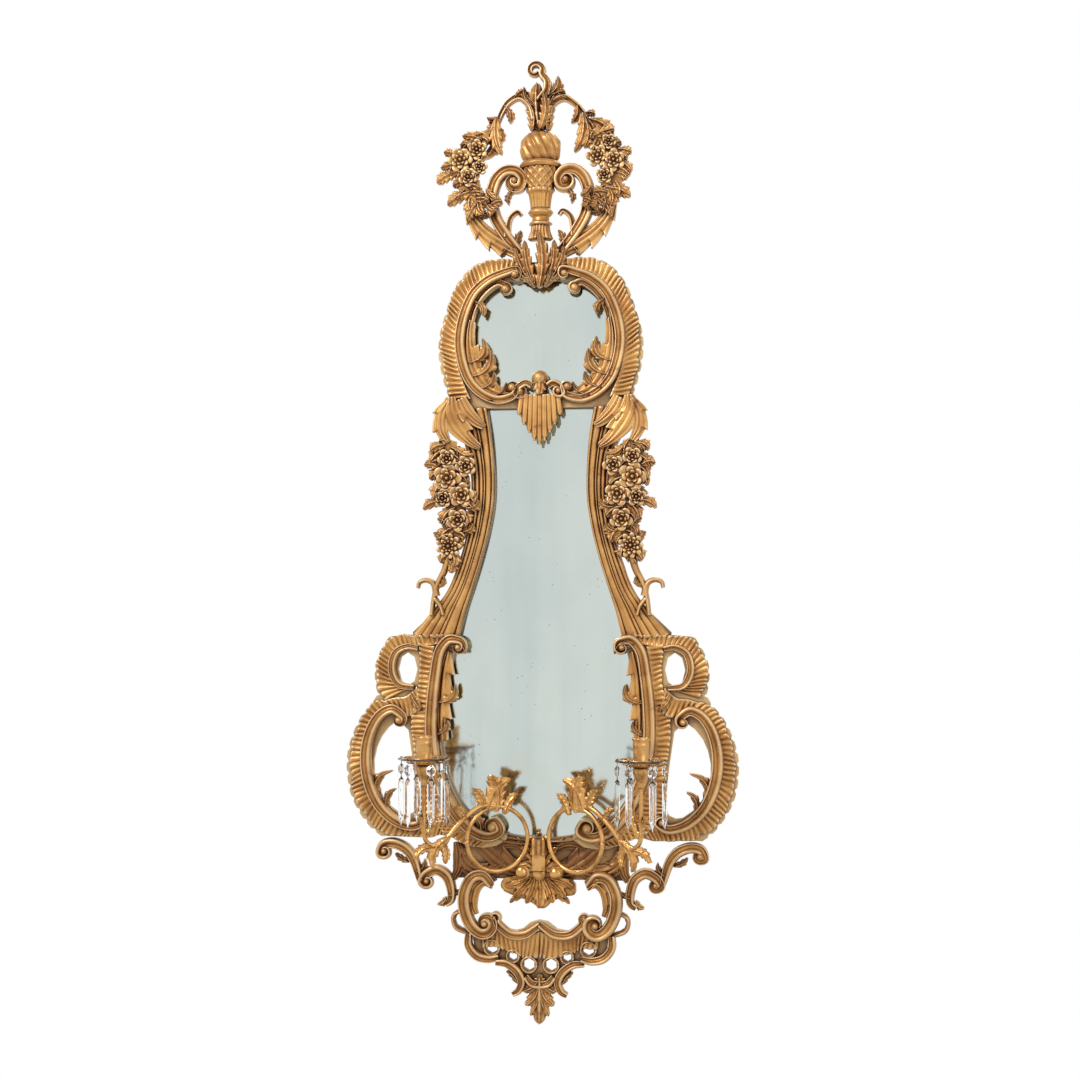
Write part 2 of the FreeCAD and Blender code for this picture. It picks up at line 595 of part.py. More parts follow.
STILE_INNER = SIGHT_LOWER[:9]
REED_COUNT = 4
for side in (1, -1):
    stile = new_body(side_name(side, "stile_moulding"))
    inner = [place(p, side) for p in STILE_INNER]
    outer = [place(p, side) for p in STILE_OUTER[:1] + STILE_OUTER[2:]]
    base = smooth(inner) + [line(inner[-1], outer[-1])] + smooth(outer)[::-1]
    base.append(line(outer[0], inner[0]))
    pad(stile, "ground", base, FRONT, "sizes.stile_thick")
    for i in range(REED_COUNT):
        share = (i + 0.5) / REED_COUNT
        spine = [a * (1 - share) + b * share for a, b in zip(inner, outer)]
        widths = [0.42 * (b - a).Length / REED_COUNT for a, b in zip(inner, outer)]
        left, right = beside(spine, widths), beside(spine, [-w for w in widths])
        left[0].y = right[0].y = inner[0].y
        left[-1].y = right[-1].y = inner[-1].y
        reed = smooth(left) + [line(left[-1], right[-1])] + smooth(right)[::-1]
        reed.append(line(right[0], left[0]))
        pad(stile, f"reed_{i}", reed, FRONT, "sizes.stile_thick + sizes.reed_height")

    shoulder_leaf = new_body(side_name(side, "shoulder_leaf"))
    for i, (base, tip, width) in enumerate(SHOULDER_LEAVES):
        curves = leaf(place(base, side), place(tip, side), width, lean=0.12 * side)
        pad(shoulder_leaf, f"leaf_{i}", curves, ON_STILE, f"sizes.leaf_thick + {2 - i}")

    swag = new_body(side_name(side, "flower_swag"))
    spine = [place(p, side) for p in SWAG]
    pad(swag, "garland", frilled_band(spine, SWAG_WIDTHS, 7, 3.2), ON_STILE, "sizes.leaf_thick")
    for i, (base, tip, width) in enumerate(SWAG_LEAVES):
        pad(swag, f"leaf_{i}", leaf(place(base, side), place(tip, side), width), ON_STILE,
            "sizes.leaf_thick")
    for i, (centre, radius, count) in enumerate(SWAG_FLOWERS):
        spot = place(centre, side)
        pad(swag, f"flower_{i}", petals(spot, radius, count, 0.3 * i), ON_STILE, "sizes.flower_thick")
        pad(swag, f"heart_{i}", facets(spot, radius * 0.35, 6), ON_STILE, "sizes.flower_thick + 4")
    for name, points, width in (("twig", TWIG, 9.6), ("curl", TWIG_CURL, 6.4)):
        spine = [place(p, side) for p in points]
        pad(swag, name, band(spine, width, width, width * 0.6), ON_STILE, "sizes.leaf_thick")


# ---------------------------------------------------------------- rocaille sides

for side in (1, -1):
    panel = new_body(side_name(side, "side_ruffle"))
    rim = [place(p, side) for p in SIDE_OUTER]
    foot = [place(p, side) for p in SIDE_FOOT]
    inner = [Vector(foot[-1].x, place((0, BOARD_JOINT)).y, 0), place((64, BOARD_JOINT), side),
             Vector(place((64, 0), side).x, rim[0].y, 0)]
    outline = [line(rim[0], rim[1])] + scallops(rim[1:], 18, -3.8 * side) + whittled(foot)
    outline += [line(foot[-1], inner[0]), line(inner[0], inner[1]), line(inner[1], inner[2])]
    outline.append(line(inner[2], rim[0]))
    pad(panel, "ground", outline, FRONT, "sizes.ruffle_thick")
    pocket(panel, "sight", sight_loop(SIGHT_LOWER, SIGHT_TOP))
    ear = [place(p, side) for p in EAR_OPENING]
    pocket(panel, "ear", polygon(ear))
    opening = [place(p, side) for p in WING_OPENING]
    pocket(panel, "wing", whittled(opening + opening[:1]))

    scroll = new_body(side_name(side, "side_scroll"))
    spine = [place(p, side) for p in SIDE_SCROLL]
    eyes = ((place((128, -411.2), side), 9.6), (place((73.6, -697.6), side), 11.2))
    scroll_layers(scroll, "band", spine, (11.2, 16, 9.6), ON_RUFFLE, eyes)
    curves = leaf(place((166.4, -504), side), place((136, -473.6), side), 17.6)
    pad(scroll, "leaf", curves, ON_RUFFLE, "sizes.leaf_thick")

    wing = new_body(side_name(side, "c_scrolls"))
    spine = [place(p, side) for p in EAR_RING]
    scroll_layers(wing, "ear", spine, (6.4, 11.2, 6.4), ON_RUFFLE)
    spine = [place(p, side) for p in WING_SCROLL]
    eyes = ((place((225.6, -524.8), side), 9.6), (place((192, -688), side), 9.6))
    scroll_layers(wing, "wing", spine, (9.6, 17.6, 9.6), ON_RUFFLE, eyes)
    hook = [place(p, side) for p in WING_LEAF]
    pad(wing, "hook", band(hook, 12.8, 12.8, 3.2), ON_RUFFLE, "sizes.scroll_thick")


# ---------------------------------------------------------------- foot scrolls and apron

    feet = new_body(side_name(side, "foot_scrolls"))
    for name, points in FOOT_SCROLLS.items():
        spine = [place(p, side) for p in points]
        scroll_layers(feet, name, spine, (11.2, 14.4, 9.6), FRONT, ((spine[0], 8),))

    apron_scroll = new_body(side_name(side, "apron_scroll"))
    spine = [place(p, side) for p in APRON_SCROLL]
    scroll_layers(apron_scroll, "band", spine, (9.6, 19.2, 8), ON_APRON, ((place((94.4, -843.2), side), 12.8),))

shell = new_body("apron_shell")
edge = [place(p) for p in SHELL_EDGE]
left_edge = [place(p, -1) for p in SHELL_EDGE]
outline = whittled(edge) + whittled(left_edge)
outline += [line(edge[0], left_edge[0]), line(edge[-1], left_edge[-1])]
pad(shell, "ground", outline, FRONT, "sizes.apron_thick")
full_festoon = [place(p) for p in FESTOON] + [place(p, -1) for p in FESTOON[::-1]]
pad(shell, "festoon", band(full_festoon, 12.8, 14.4, 12.8), FRONT, "sizes.apron_thick + sizes.eye_rise")
for side in (1, -1):
    tag = side_name(side, "")
    carrier = [place(p, side) for p in APRON_SCROLL[:5]]
    pad(shell, tag + "carrier", band(carrier, 12.8, 16, 14.4), FRONT, "sizes.apron_thick")
    loop = [place(p, side) for p in APRON_LOOP]
    pad(shell, tag + "loop", band(loop, 6.4, 6.4, 6.4), FRONT, "sizes.apron_thick")
for i, (centre, radius) in enumerate(SHELL_HOLES):
    for side in (1, -1):
        pocket(shell, side_name(side, f"hole_{i}"), facets(place(centre, side), radius, 6))

apron_pendant = new_body("apron_pendant")
curves = leaf(place((0, -937.6)), place((0, -1004.8)), 43.2)
pad(apron_pendant, "leaf", curves, ON_APRON, "sizes.leaf_thick")
curves = leaf(place((0, -942.4)), place((0, -990.4)), 19.2)
pad(apron_pendant, "rib", curves, ON_APRON, "sizes.leaf_thick + sizes.eye_rise")


# ---------------------------------------------------------------- crest

urn = new_body("crest_urn")
profile = [place(p) for p in URN_PROFILE]
middle = [Vector(0, profile[0].y, 0), Vector(0, profile[-1].y, 0)]
turned = [line(a, b) for a, b in zip(profile, profile[1:])]
turned += [line(profile[-1], middle[1]), line(middle[1], middle[0]), line(middle[0], profile[0])]
half_urn = urn.newObject("PartDesign::Revolution", "urn_turned")
half_urn.Profile = new_sketch(urn, "profile", turned, "XZ_Plane", FRONT)
half_urn.ReferenceAxis = (half_urn.Profile[0], ["V_Axis"])
half_urn.Angle = 180
half_urn.Reversed = True
stem = whittled([place(p) for p in CREST_STEM]) + whittled([place(p, -1) for p in CREST_STEM])
for end in (0, -1):
    stem.append(line(place(CREST_STEM[end]), place(CREST_STEM[end], -1)))
pad(urn, "stem", stem, FRONT, "sizes.crest_thick")
palm = whittled([place(p) for p in PALMETTE]) + whittled([place(p, -1) for p in PALMETTE])
palm.append(line(place(PALMETTE[0]), place(PALMETTE[0], -1)))
pad(urn, "palmette", palm, ON_CREST, "sizes.leaf_thick")

plume = new_body("crest_plume")
for i, (base, tip, width) in enumerate((((0, 422.4), (-3.2, 494.4), 44.8), ((0, 425.6), (3.2, 481.6), 19.2))):
    curves = leaf(place(base), place(tip), width, 3)
    pad(plume, f"leaf_{i}", curves, FRONT, f"sizes.crest_thick + {4 * i}")
finial = [place(p) for p in FINIAL]
pad(plume, "finial", band(finial, 14.4, 12.8, 9.6), FRONT, "sizes.crest_thick - 2")
pad(plume, "finial_leaf", leaf(place((8, 483.2)), place((30.4, 505.6)), 19.2), FRONT, "sizes.leaf_thick")
pad(plume, "finial_curl", facets(place(FINIAL_CURL), 14.4), FRONT, "sizes.crest_thick - 2")
pocket(plume, "finial_eye", facets(place(FINIAL_CURL), 4.8))

for side in (1, -1):
    branch = [place(p, side) for p in PLUME_BRANCH]
    pad(plume, side_name(side, "branch"), band(branch, 12.8, 11.2, 8), FRONT, "sizes.crest_thick")

    crest = new_body(side_name(side, "crest_scroll"))
    spine = [place(p, side) for p in CREST_SCROLL]
    pad(crest, "band", band(spine, 12.8, 22.4, 11.2), FRONT, "sizes.crest_thick")
    pad(crest, "eye", facets(place((39.2, 337.6), side), 11.2), FRONT, "sizes.crest_thick + 2")
    branch = [place(p, side) for p in CREST_BRANCH]
    pad(crest, "branch", band(branch, 6.4, 14.4, 12.8), FRONT, "sizes.crest_thick - 3")
    sprig = [place(p, side) for p in CREST_SPRIG]
    pad(crest, "sprig", band(sprig, 11.2, 9.6, 6.4), FRONT, "sizes.crest_thick - 5")

    spray = new_body(side_name(side, "crest_spray"))
    spine = [place(p, side) for p in SPRAY]
    pad(spray, "garland", frilled_band(spine, SPRAY_WIDTHS, 6, 3.2), ON_CREST, "sizes.leaf_thick")
    for i, (base, tip, width) in enumerate(SPRAY_LEAVES):
        pad(spray, f"leaf_{i}", leaf(place(base, side), place(tip, side), width), ON_CREST,
            "sizes.leaf_thick")
    for i, (centre, radius, count) in enumerate(SPRAY_FLOWERS):
        spot = place(centre, side)
        pad(spray, f"flower_{i}", petals(spot, radius, count, 0.4 * i), ON_CREST,
            "sizes.flower_thick - 1")
        pad(spray, f"heart_{i}", facets(spot, radius * 0.35, 6), ON_CREST, "sizes.flower_thick + 2")


# ---------------------------------------------------------------- hanging plates

straps = new_body("hanging_plates")
screws = new_body("hanging_screws")
strap_curves, screw_spots = [], []
for side in (1, -1):
    x, w, h = side * size("eye_spacing") / 2, size("strap_width") / 2, size("strap_height") / 2
    strap_curves += polygon([Vector(x - w, -h, 0), Vector(x + w, -h, 0), Vector(x + w, h, 0),
                             Vector(x - w, h, 0)])
    screw_spots += [Vector(x, k * size("screw_spacing") / 2, 0) for k in (1, -1)]
pad(straps, "strap", strap_curves, "0", "sizes.strap_thick")
for side in (1, -1):
    eye = disc(Vector(side * size("eye_spacing") / 2, 0, 0), size("eye_radius"))
    pocket(straps, side_name(side, "eye"), eye)
head = size("screw_head_radius")
for i, spot in enumerate(screw_spots):
    pocket(straps, f"screw_hole_{i}", facets(spot, head + size("pilot_play"), 6))
for name, radius, length in (("heads", head, "sizes.strap_thick"),
                             ("shanks", size("screw_radius"), "sizes.screw_length")):
    curves = []
    for spot in screw_spots:
        curves += facets(spot, radius, 6)
    pad(screws, name, curves, "0", length)

# ---------------------------------------------------------------- bracket and candle branches

BRANCH_LEVEL = place((0, (0, -710.4)[1])).y
ROUNDELS = (((-25.6, -768), 10.9), ((0, -768), 10.9), ((25.6, -768), 10.9))
NECK_HALF = 10.4
NECK_FOOT = (0, -763.2)[1]


def upright(points, side=1):
    """Points (x, z) as they stand in a body's own frame, mirrored for the left."""
    return [Vector(side * x, z, 0) for x, z in points]


bracket = new_body("arm_bracket")
rim, left_rim = ([place(p, side) for p in BRACKET_SHELL[1:]] for side in (1, -1))
outline = whittled(rim) + whittled(left_rim) + [line(rim[0], left_rim[0])]
pad(bracket, "shell", outline, FRONT, "sizes.scroll_thick + 4")
for i, (centre, radius) in enumerate(ROUNDELS):
    pad(bracket, f"roundel_{i}", facets(place(centre), radius), FRONT, "sizes.scroll_thick + 9")
neck_top, neck_foot = BRANCH_LEVEL - 2 * size("rod_radius"), place((0, NECK_FOOT)).y
neck = [(-NECK_HALF, neck_foot), (NECK_HALF, neck_foot), (NECK_HALF, neck_top), (-NECK_HALF, neck_top)]
pad(bracket, "neck", polygon(upright(neck)), FRONT, "sizes.hinge_depth - sizes.carcass_depth")
pin_bore = size("pin_radius") + size("pin_play")
socket_top = BRANCH_LEVEL - size("rod_radius") - size("joint_gap")
hinges = [Vector(side * size("hinge_half_span"), -size("hinge_depth"), 0) for side in (1, -1)]
for i, spot in enumerate(hinges):
    pad(bracket, f"socket_{i}", facets(spot, pin_bore + size("socket_wall")), str(socket_top),
        "sizes.pin_length + 2 * sizes.socket_wall", "XY_Plane", backwards=True)
for i, spot in enumerate(hinges):
    pocket(bracket, f"bore_{i}", disc(spot, pin_bore), "sizes.pin_length", str(socket_top),
           "XY_Plane").Reversed = False

# Each branch is drawn in its own upright plane: along it from the hinge axis, and up from the
# centre of its ring.
RING_CENTRE = size("ring_offset") + size("ring_radius")
RING_TOP = size("ring_radius")
REACH = size("branch_reach")
CUP_FOOT = size("stem_top")
CUP_TOP = CUP_FOOT + size("cup_height")
BRANCH = ((RING_CENTRE - 4, RING_TOP), (RING_CENTRE + 26, RING_TOP + 2),
          (RING_CENTRE + 50, RING_TOP - 12), (REACH - 52, 22), (REACH - 36, 4), (REACH - 18, -6),
          (REACH - 4, 2), (REACH, 18), (REACH, 40))
# a spray over the ring and leaves that wrap the bend, as (base, tip, width, lean)
BRANCH_LEAVES = (
    ((RING_CENTRE + 4, RING_TOP - 3), (RING_CENTRE + 14, RING_TOP + 46), 26, 0.1),
    ((RING_CENTRE + 18, RING_TOP - 2), (RING_CENTRE - 16, RING_TOP + 40), 22, -0.15),
    ((REACH - 40, 8), (REACH - 14, -40), 22, 0.2),
    ((REACH - 22, -8), (REACH + 16, -24), 16, 0.2),
    ((REACH - 1, 8), (REACH - 16, 66), 13, 0.12),
)
BRANCH_LEAF_THICK = 7
LEAF_STEP = 0.8


def ring_and_rod(arm, side):
    """The branch's two rods of six flats: the closed ring, and the bend up to the cup."""
    rod_section = size("rod_radius")
    ring = arm.newObject("PartDesign::Revolution", f"{arm.Label}_ring")
    foot = Vector(side * (RING_CENTRE - size("ring_radius")), 0, 0)
    ring.Profile = new_sketch(arm, "ring_section", facets(foot, rod_section, 6), "XY_Plane")
    middle = [Vector(side * RING_CENTRE, y, 0) for y in (-rod_section, rod_section)]
    ring.ReferenceAxis = (new_sketch(arm, "ring_axis", [line(*middle)], "XY_Plane"), ["Edge1"])
    ring.Angle = 360
    path = upright(BRANCH, side)
    stem = line(path[-1], Vector(side * REACH, CUP_FOOT, 0))
    spine = new_sketch(arm, "path", smooth(path) + [stem])
    start = Vector(0, path[0].y, 0)
    section = new_sketch(arm, "rod_section", facets(start, rod_section, 6), "YZ_Plane", str(path[0].x))
    rod = arm.newObject("PartDesign::AdditivePipe", f"{arm.Label}_rod")
    rod.Profile = section
    rod.Spine = (spine, [f"Edge{i + 1}" for i in range(spine.GeometryCount)])


def branch(side):
    """One candle branch: rods, leaves, the faceted cup, and the lug and pin it turns on."""
    arm = new_body(side_name(side, "arm"))
    ring_and_rod(arm, side)
    for i, (base, tip, width, lean) in enumerate(BRANCH_LEAVES):
        start, end = upright((base, tip), side)
        thick = BRANCH_LEAF_THICK - LEAF_STEP * i
        pad(arm, f"leaf_{i}", leaf(start, end, width, lean=lean * side), str(-thick / 2), str(thick))
    axis, wide = Vector(side * REACH, 0, 0), size("cup_radius")
    loft(arm, "cup", [(axis, 0.4 * wide, CUP_FOOT - 6, 8), (axis, 0.75 * wide, CUP_FOOT + 6, 8),
                      (axis, wide, CUP_TOP - 5, 8), (axis, 0.85 * wide, CUP_TOP, 8)])
    bore = size("spigot_radius") + size("spigot_play")
    pocket(arm, "cup_bore", facets(axis, bore), "sizes.spigot_length", str(CUP_TOP),
           "XY_Plane").Reversed = False
    root = Vector(0, 0, 0)
    pad(arm, "lug", facets(root, size("pin_radius"), 6), "0", "sizes.ring_offset", "YZ_Plane",
        backwards=side < 0)
    pad(arm, "pin", disc(root, size("pin_radius")), "sizes.pin_radius",
        "sizes.pin_length + sizes.rod_radius + 2 * sizes.pin_play", "XY_Plane", backwards=True)
    return arm


def drip_pan(side):
    """A dished pan of twelve sides, with a hole in its rim for each drop."""
    pan = new_body(side_name(side, "drip_pan"))
    middle, rim, floor = Vector(0, 0, 0), size("pan_radius"), size("cup_radius")
    thick, rise, flat = size("pan_thick"), size("pan_rise"), size("hole_circle") - 6
    loft(pan, "dish", [(middle, floor, 0, 12), (middle, rim, rise, 12), (middle, rim, rise + thick, 12)])
    loft(pan, "hollow", [(middle, floor, thick, 12), (middle, flat, rise + thick, 12)], cut=True)
    pocket(pan, "hub", facets(middle, size("spigot_radius") + size("spigot_play")), None, "0",
           "XY_Plane")
    for i in range(DROP_COUNT):
        spot = FreeCAD.Rotation(UP, drop_turn(i)).multVec(Vector(size("hole_circle"), 0, 0))
        pocket(pan, f"hole_{i}", facets(spot, size("hole_radius"), 6), None, str(rise), "XY_Plane")
    return pan


def nozzle_cup(side):
    """The candle's nozzle, with a lip, and a spigot that holds the pan down on the branch's cup."""
    nozzle = new_body(side_name(side, "nozzle"))
    middle, outer = Vector(0, 0, 0), size("candle_radius") + size("nozzle_wall")
    floor, top = size("pan_thick"), size("pan_thick") + size("nozzle_height")
    pad(nozzle, "spigot", facets(middle, size("spigot_radius")), str(floor - size("spigot_length") + 1),
        "sizes.spigot_length", "XY_Plane")
    pad(nozzle, "tube", facets(middle, outer, 16), str(floor), "sizes.nozzle_height", "XY_Plane")
    pad(nozzle, "lip", facets(middle, outer + size("nozzle_lip"), 16), str(top - size("lip_height")),
        "sizes.lip_height", "XY_Plane")
    pocket(nozzle, "bore", disc(middle, size("candle_radius")),
           "sizes.nozzle_height - sizes.nozzle_floor", str(top), "XY_Plane").Reversed = False
    return nozzle


def long_octagon(width, low, high):
    """A bead's outline: an upright octagon between two heights."""
    half, tall = width / 2, high - low
    corners = [(0.4 * half, low), (half, low + 0.3 * tall), (half, low + 0.7 * tall), (0.4 * half, high)]
    return corners + [(-x, z) for x, z in corners[::-1]]


def spear(width, low, high):
    """A drop's outline: shouldered at its top, widest below it, and running down to a point."""
    half, tall = width / 2, high - low
    return [(0.3 * half, high), (half, high - 0.1 * tall), (0.8 * half, low + 0.18 * tall), (0, low),
            (-0.8 * half, low + 0.18 * tall), (-half, high - 0.1 * tall), (-0.3 * half, high)]


def drop(side, i, seat):
    """A hung drop: its wire with a head over the rim, a flat bead and a cut spear of glass."""
    body = new_body(side_name(side, f"drop_{i + 1}"))
    middle, half_rim = Vector(0, 0, 0), size("pan_thick") / 2
    head_foot = half_rim + size("wire_head_play")
    bead_top = -half_rim - size("wire_reach")
    bead_foot = bead_top - size("bead_height")
    spear_top = bead_foot - size("drop_link")
    wire_foot = spear_top - size("drop_link")
    pad(body, "wire", facets(middle, size("wire_radius"), 4), str(wire_foot),
        str(head_foot - wire_foot + size("wire_head_thick") / 2), "XY_Plane")
    pad(body, "head", facets(middle, size("wire_head"), 6), str(head_foot), "sizes.wire_head_thick",
        "XY_Plane")
    for name, outline, thick in (
            ("bead", long_octagon(size("bead_width"), bead_foot, bead_top), size("bead_thick")),
            ("spear", spear(size("drop_width"), spear_top - size("drop_length"), spear_top),
             size("drop_thick"))):
        pad(body, name, polygon(upright(outline)), str(-thick / 2), str(thick))
    out = FreeCAD.Rotation(UP, drop_turn(i))
    hole = out.multVec(Vector(size("hole_circle"), 0, 0)) + UP * (size("pan_rise") + half_rim)
    body.Placement = seat.multiply(FreeCAD.Placement(hole, out.multiply(FreeCAD.Rotation(UP, 90))))


UP = Vector(0, 0, 1)
DROP_COUNT = int(size("drop_count"))


def drop_turn(i):
    """The bearing of a drop's hole round its pan, in degrees."""
    return 360 * (i + 0.5) / DROP_COUNT


for side in (1, -1):
    arm = branch(side)
    hinge = Vector(side * size("hinge_half_span"), -size("hinge_depth"), BRANCH_LEVEL)
    arm.Placement = FreeCAD.Placement(hinge, FreeCAD.Rotation(UP, -size("branch_angle") * side))
    seat = arm.Placement.multiply(FreeCAD.Placement(Vector(side * REACH, 0, CUP_TOP),
                                                    FreeCAD.Rotation()))
    for part in (drip_pan(side), nozzle_cup(side)):
        part.Placement = seat
    for i in range(DROP_COUNT):
        drop(side, i, seat)


# ---------------------------------------------------------------- check and write

doc.recompute()
for item in doc.Objects:
    faults = [word for word in item.State if word in ("Invalid", "Error")]
    if faults:
        raise SystemExit(f"{item.Label}: {faults}")
for node in nodes:
    if node.Shape.isNull() or not node.Shape.isValid():
        raise SystemExit(f"{node.Label}: the shape is null or not valid")

os.makedirs("parts", exist_ok=True)
for node in nodes:
    node.Shape.exportStep(f"parts/{node.Label}.step")
    print(node.Label, len(node.Shape.Solids), round(node.Shape.Volume / 1000, 1), "cm3")
print(len(nodes), "nodes")
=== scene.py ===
# %% [markdown]
# A girandole mirror, dressed around its solid model
# ---------------------------------------------------
# The real object is a carved and gilded wall mirror in two tiers. A joiner made the flat boards,
# a carver laid scrolls, frilled shells, leaves and flowers on them, and a gilder covered them
# with size, red-brown bole and leaf. The solid model already has the boards, the plates and the
# pivots at their true sizes. This lesson adds what the carver, the gilder and the glass cutter did.

# %% Load the frame
import math
import random

import bmesh
import bpy
import numpy as np
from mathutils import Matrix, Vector


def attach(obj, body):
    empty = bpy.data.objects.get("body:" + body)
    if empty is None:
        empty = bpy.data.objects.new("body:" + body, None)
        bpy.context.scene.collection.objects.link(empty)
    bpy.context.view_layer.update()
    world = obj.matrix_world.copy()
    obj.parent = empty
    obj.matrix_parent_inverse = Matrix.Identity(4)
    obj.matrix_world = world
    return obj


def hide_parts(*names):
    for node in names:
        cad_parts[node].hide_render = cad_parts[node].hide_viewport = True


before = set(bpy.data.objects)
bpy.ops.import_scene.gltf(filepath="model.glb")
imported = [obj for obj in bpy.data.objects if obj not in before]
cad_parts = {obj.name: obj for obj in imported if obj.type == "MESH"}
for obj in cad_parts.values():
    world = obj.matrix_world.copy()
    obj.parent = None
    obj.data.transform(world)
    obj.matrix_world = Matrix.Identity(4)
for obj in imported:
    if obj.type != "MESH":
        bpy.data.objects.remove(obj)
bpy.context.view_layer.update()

random.seed(7)
rng = np.random.default_rng(7)
MM = 0.001

# %% [markdown]
# Everything carved starts from a line drawn on the board. A few points are drawn, in
# millimetres to the right of the middle and up from the hanging eyes, and a smooth curve runs
# through them. A curve object could do that, but the carving tools below need the line as plain
# numbers, so it is worked out here and spaced evenly.

# %% Lines drawn on the board
def smooth_line(points, step=1.6):
    """Points about a step apart, in mm, on a smooth line through the given ones."""
    p = np.array(points, float)
    if len(p) == 2:
        dense = p[0] + (p[1] - p[0]) * np.linspace(0, 1, 24)[:, None]
    else:
        ends = np.vstack([2 * p[0] - p[1], p, 2 * p[-1] - p[-2]])
        t = np.linspace(0, 1, 16, endpoint=False)[:, None]
        runs = []
        for a, b, c, d in zip(ends, ends[1:], ends[2:], ends[3:]):
            runs.append(0.5 * (2 * b + (c - a) * t + (2 * a - 5 * b + 4 * c - d) * t ** 2
                               + (3 * b - a - 3 * c + d) * t ** 3))
        dense = np.vstack(runs + [p[-1:]])
    length = np.concatenate([[0], np.cumsum(np.linalg.norm(np.diff(dense, axis=0), axis=1))])
    count = max(8, int(length[-1] / step))
    even = np.linspace(0, length[-1], count)
    return np.column_stack([np.interp(even, length, dense[:, k]) for k in (0, 1)])


def resample(line, count):
    """The same line with another number of evenly spaced points."""
    length = np.concatenate([[0], np.cumsum(np.linalg.norm(np.diff(line, axis=0), axis=1))])
    even = np.linspace(0, length[-1], count)
    return np.column_stack([np.interp(even, length, line[:, k]) for k in (0, 1)])


def left_of(line):
    """A unit step to the left of the line at each of its points."""
    along = np.gradient(line, axis=0)
    along /= np.maximum(np.linalg.norm(along, axis=1), 1e-9)[:, None]
    return np.column_stack([-along[:, 1], along[:, 0]])


def mirrored(points, side):
    return [(x * side, z) for x, z in points]


# %% [markdown]
# Each carving tool below gives its work as a pair: places (across, forward, up) in millimetres,
# and faces. Forward is the depth from the wall. A piece is made of one or more such pairs, and
# is laid on the board, or on a branch that stands out from it, only when it becomes a mesh.

# %% The carver's bench: slabs and rounds
def grid_faces(rows, cols, wrap=False):
    """Four-cornered faces of a grid of points; wrap joins the last column to the first."""
    i = np.arange(rows - 1)[:, None]
    j = np.arange(cols if wrap else cols - 1)[None, :]
    k = (j + 1) % cols
    return np.stack([i * cols + j, i * cols + k, (i + 1) * cols + k, (i + 1) * cols + j],
                    axis=-1).reshape(-1, 4)


def slab(front, back):
    """A closed piece with a carved front, a grid of places, and a flat back at one depth."""
    rows, cols, _ = front.shape
    rear = front.copy()
    rear[..., 1] = back
    n = rows * cols
    faces = [grid_faces(rows, cols), grid_faces(rows, cols)[:, ::-1] + n]
    ring = np.concatenate([np.arange(cols), np.arange(1, rows) * cols + cols - 1,
                           (rows - 1) * cols + np.arange(cols - 2, -1, -1),
                           np.arange(rows - 2, 0, -1) * cols])
    after = np.roll(ring, -1)
    faces.append(np.stack([ring, ring + n, after + n, after], axis=-1))
    return np.vstack([front.reshape(-1, 3), rear.reshape(-1, 3)]), np.vstack(faces)


def tube(places):
    """A closed piece from rings of places: the rings are joined and both ends are capped."""
    rows, cols, _ = places.shape
    faces = grid_faces(rows, cols, wrap=True).tolist()
    places = places.reshape(-1, 3)
    ends = [places[:cols].mean(axis=0), places[-cols:].mean(axis=0)]
    n = len(places)
    for j in range(cols):
        k = (j + 1) % cols
        faces.append([j, k, n])
        faces.append([(rows - 1) * cols + k, (rows - 1) * cols + j, n + 1])
    return np.vstack([places, ends]), faces


def round_slab(front, back):
    """A closed piece with a round carved front: rings of places from its middle outwards."""
    rings, segments, _ = front.shape
    middle = front[0].mean(axis=0)
    rear = front[-1].copy()
    rear[:, 1] = back
    low = np.array([middle[0], back, middle[2]])
    places = np.vstack([front.reshape(-1, 3), rear, middle, low])
    faces = grid_faces(rings + 1, segments, wrap=True).tolist()
    top, bottom, base = len(places) - 2, len(places) - 1, rings * segments
    for j in range(segments):
        k = (j + 1) % segments
        faces.append([top, k, j])
        faces.append([bottom, base + j, base + k])
    return places, faces


# %% [markdown]
# A **moulded scroll** is a strip with a section like a picture frame's: a fine bead, a hollow
# and a bold bead. The carver lets it swell in the middle and wind up in a volute at each end,
# round a small eye. Sweeping one section along the drawn line gives all of them. Twigs are
# rounded instead, and reeds that lie side by side are stems, which are flatter.

# %% Scrolls
MOULDED = np.array([(-1, 0), (-1, 0.5), (-0.94, 0.74), (-0.82, 0.84), (-0.7, 0.78), (-0.6, 0.62),
                    (-0.4, 0.56), (-0.16, 0.6), (0.0, 0.7), (0.16, 0.86), (0.36, 0.98),
                    (0.6, 1.0), (0.82, 0.88), (0.95, 0.62), (1, 0.4), (1, 0)])
STEM = np.array([(math.cos(a), 0.66 + 0.34 * math.sin(a)) for a in np.linspace(math.pi, 0, 13)])
ROUNDED = np.array([(math.cos(a), max(0.0, math.sin(a))) for a in np.linspace(math.pi, 0, 13)])


def sweep(line, widths, back, rises, section):
    """A strip with one section along a line; widths and rises are given at each point."""
    side = left_of(line)
    u, h = section[:, 0], section[:, 1]
    flat = line[:, None, :] + side[:, None, :] * (u[None, :, None] * widths[:, None, None] / 2)
    depth = back + rises[:, None] * h[None, :]
    return tube(np.stack([flat[..., 0], depth, flat[..., 1]], axis=-1))


def wound(points, eye, turns, close=0.34):
    """The drawn points with a volute wound on after the last one, round its eye."""
    end, before, centre = (np.array(p, float) for p in (points[-1], points[-2], eye))
    arm, heading = end - centre, end - before
    hand = 1 if arm[0] * heading[1] - arm[1] * heading[0] > 0 else -1
    start, reach = math.atan2(arm[1], arm[0]), np.linalg.norm(arm)
    steps = max(2, int(turns * 8))
    spiral = []
    for i in range(1, steps + 1):
        r = reach * (1 - (1 - close) * i / steps)
        a = start + hand * i * math.pi / 4
        spiral.append((centre[0] + r * math.cos(a), centre[1] + r * math.sin(a)))
    return list(points) + spiral


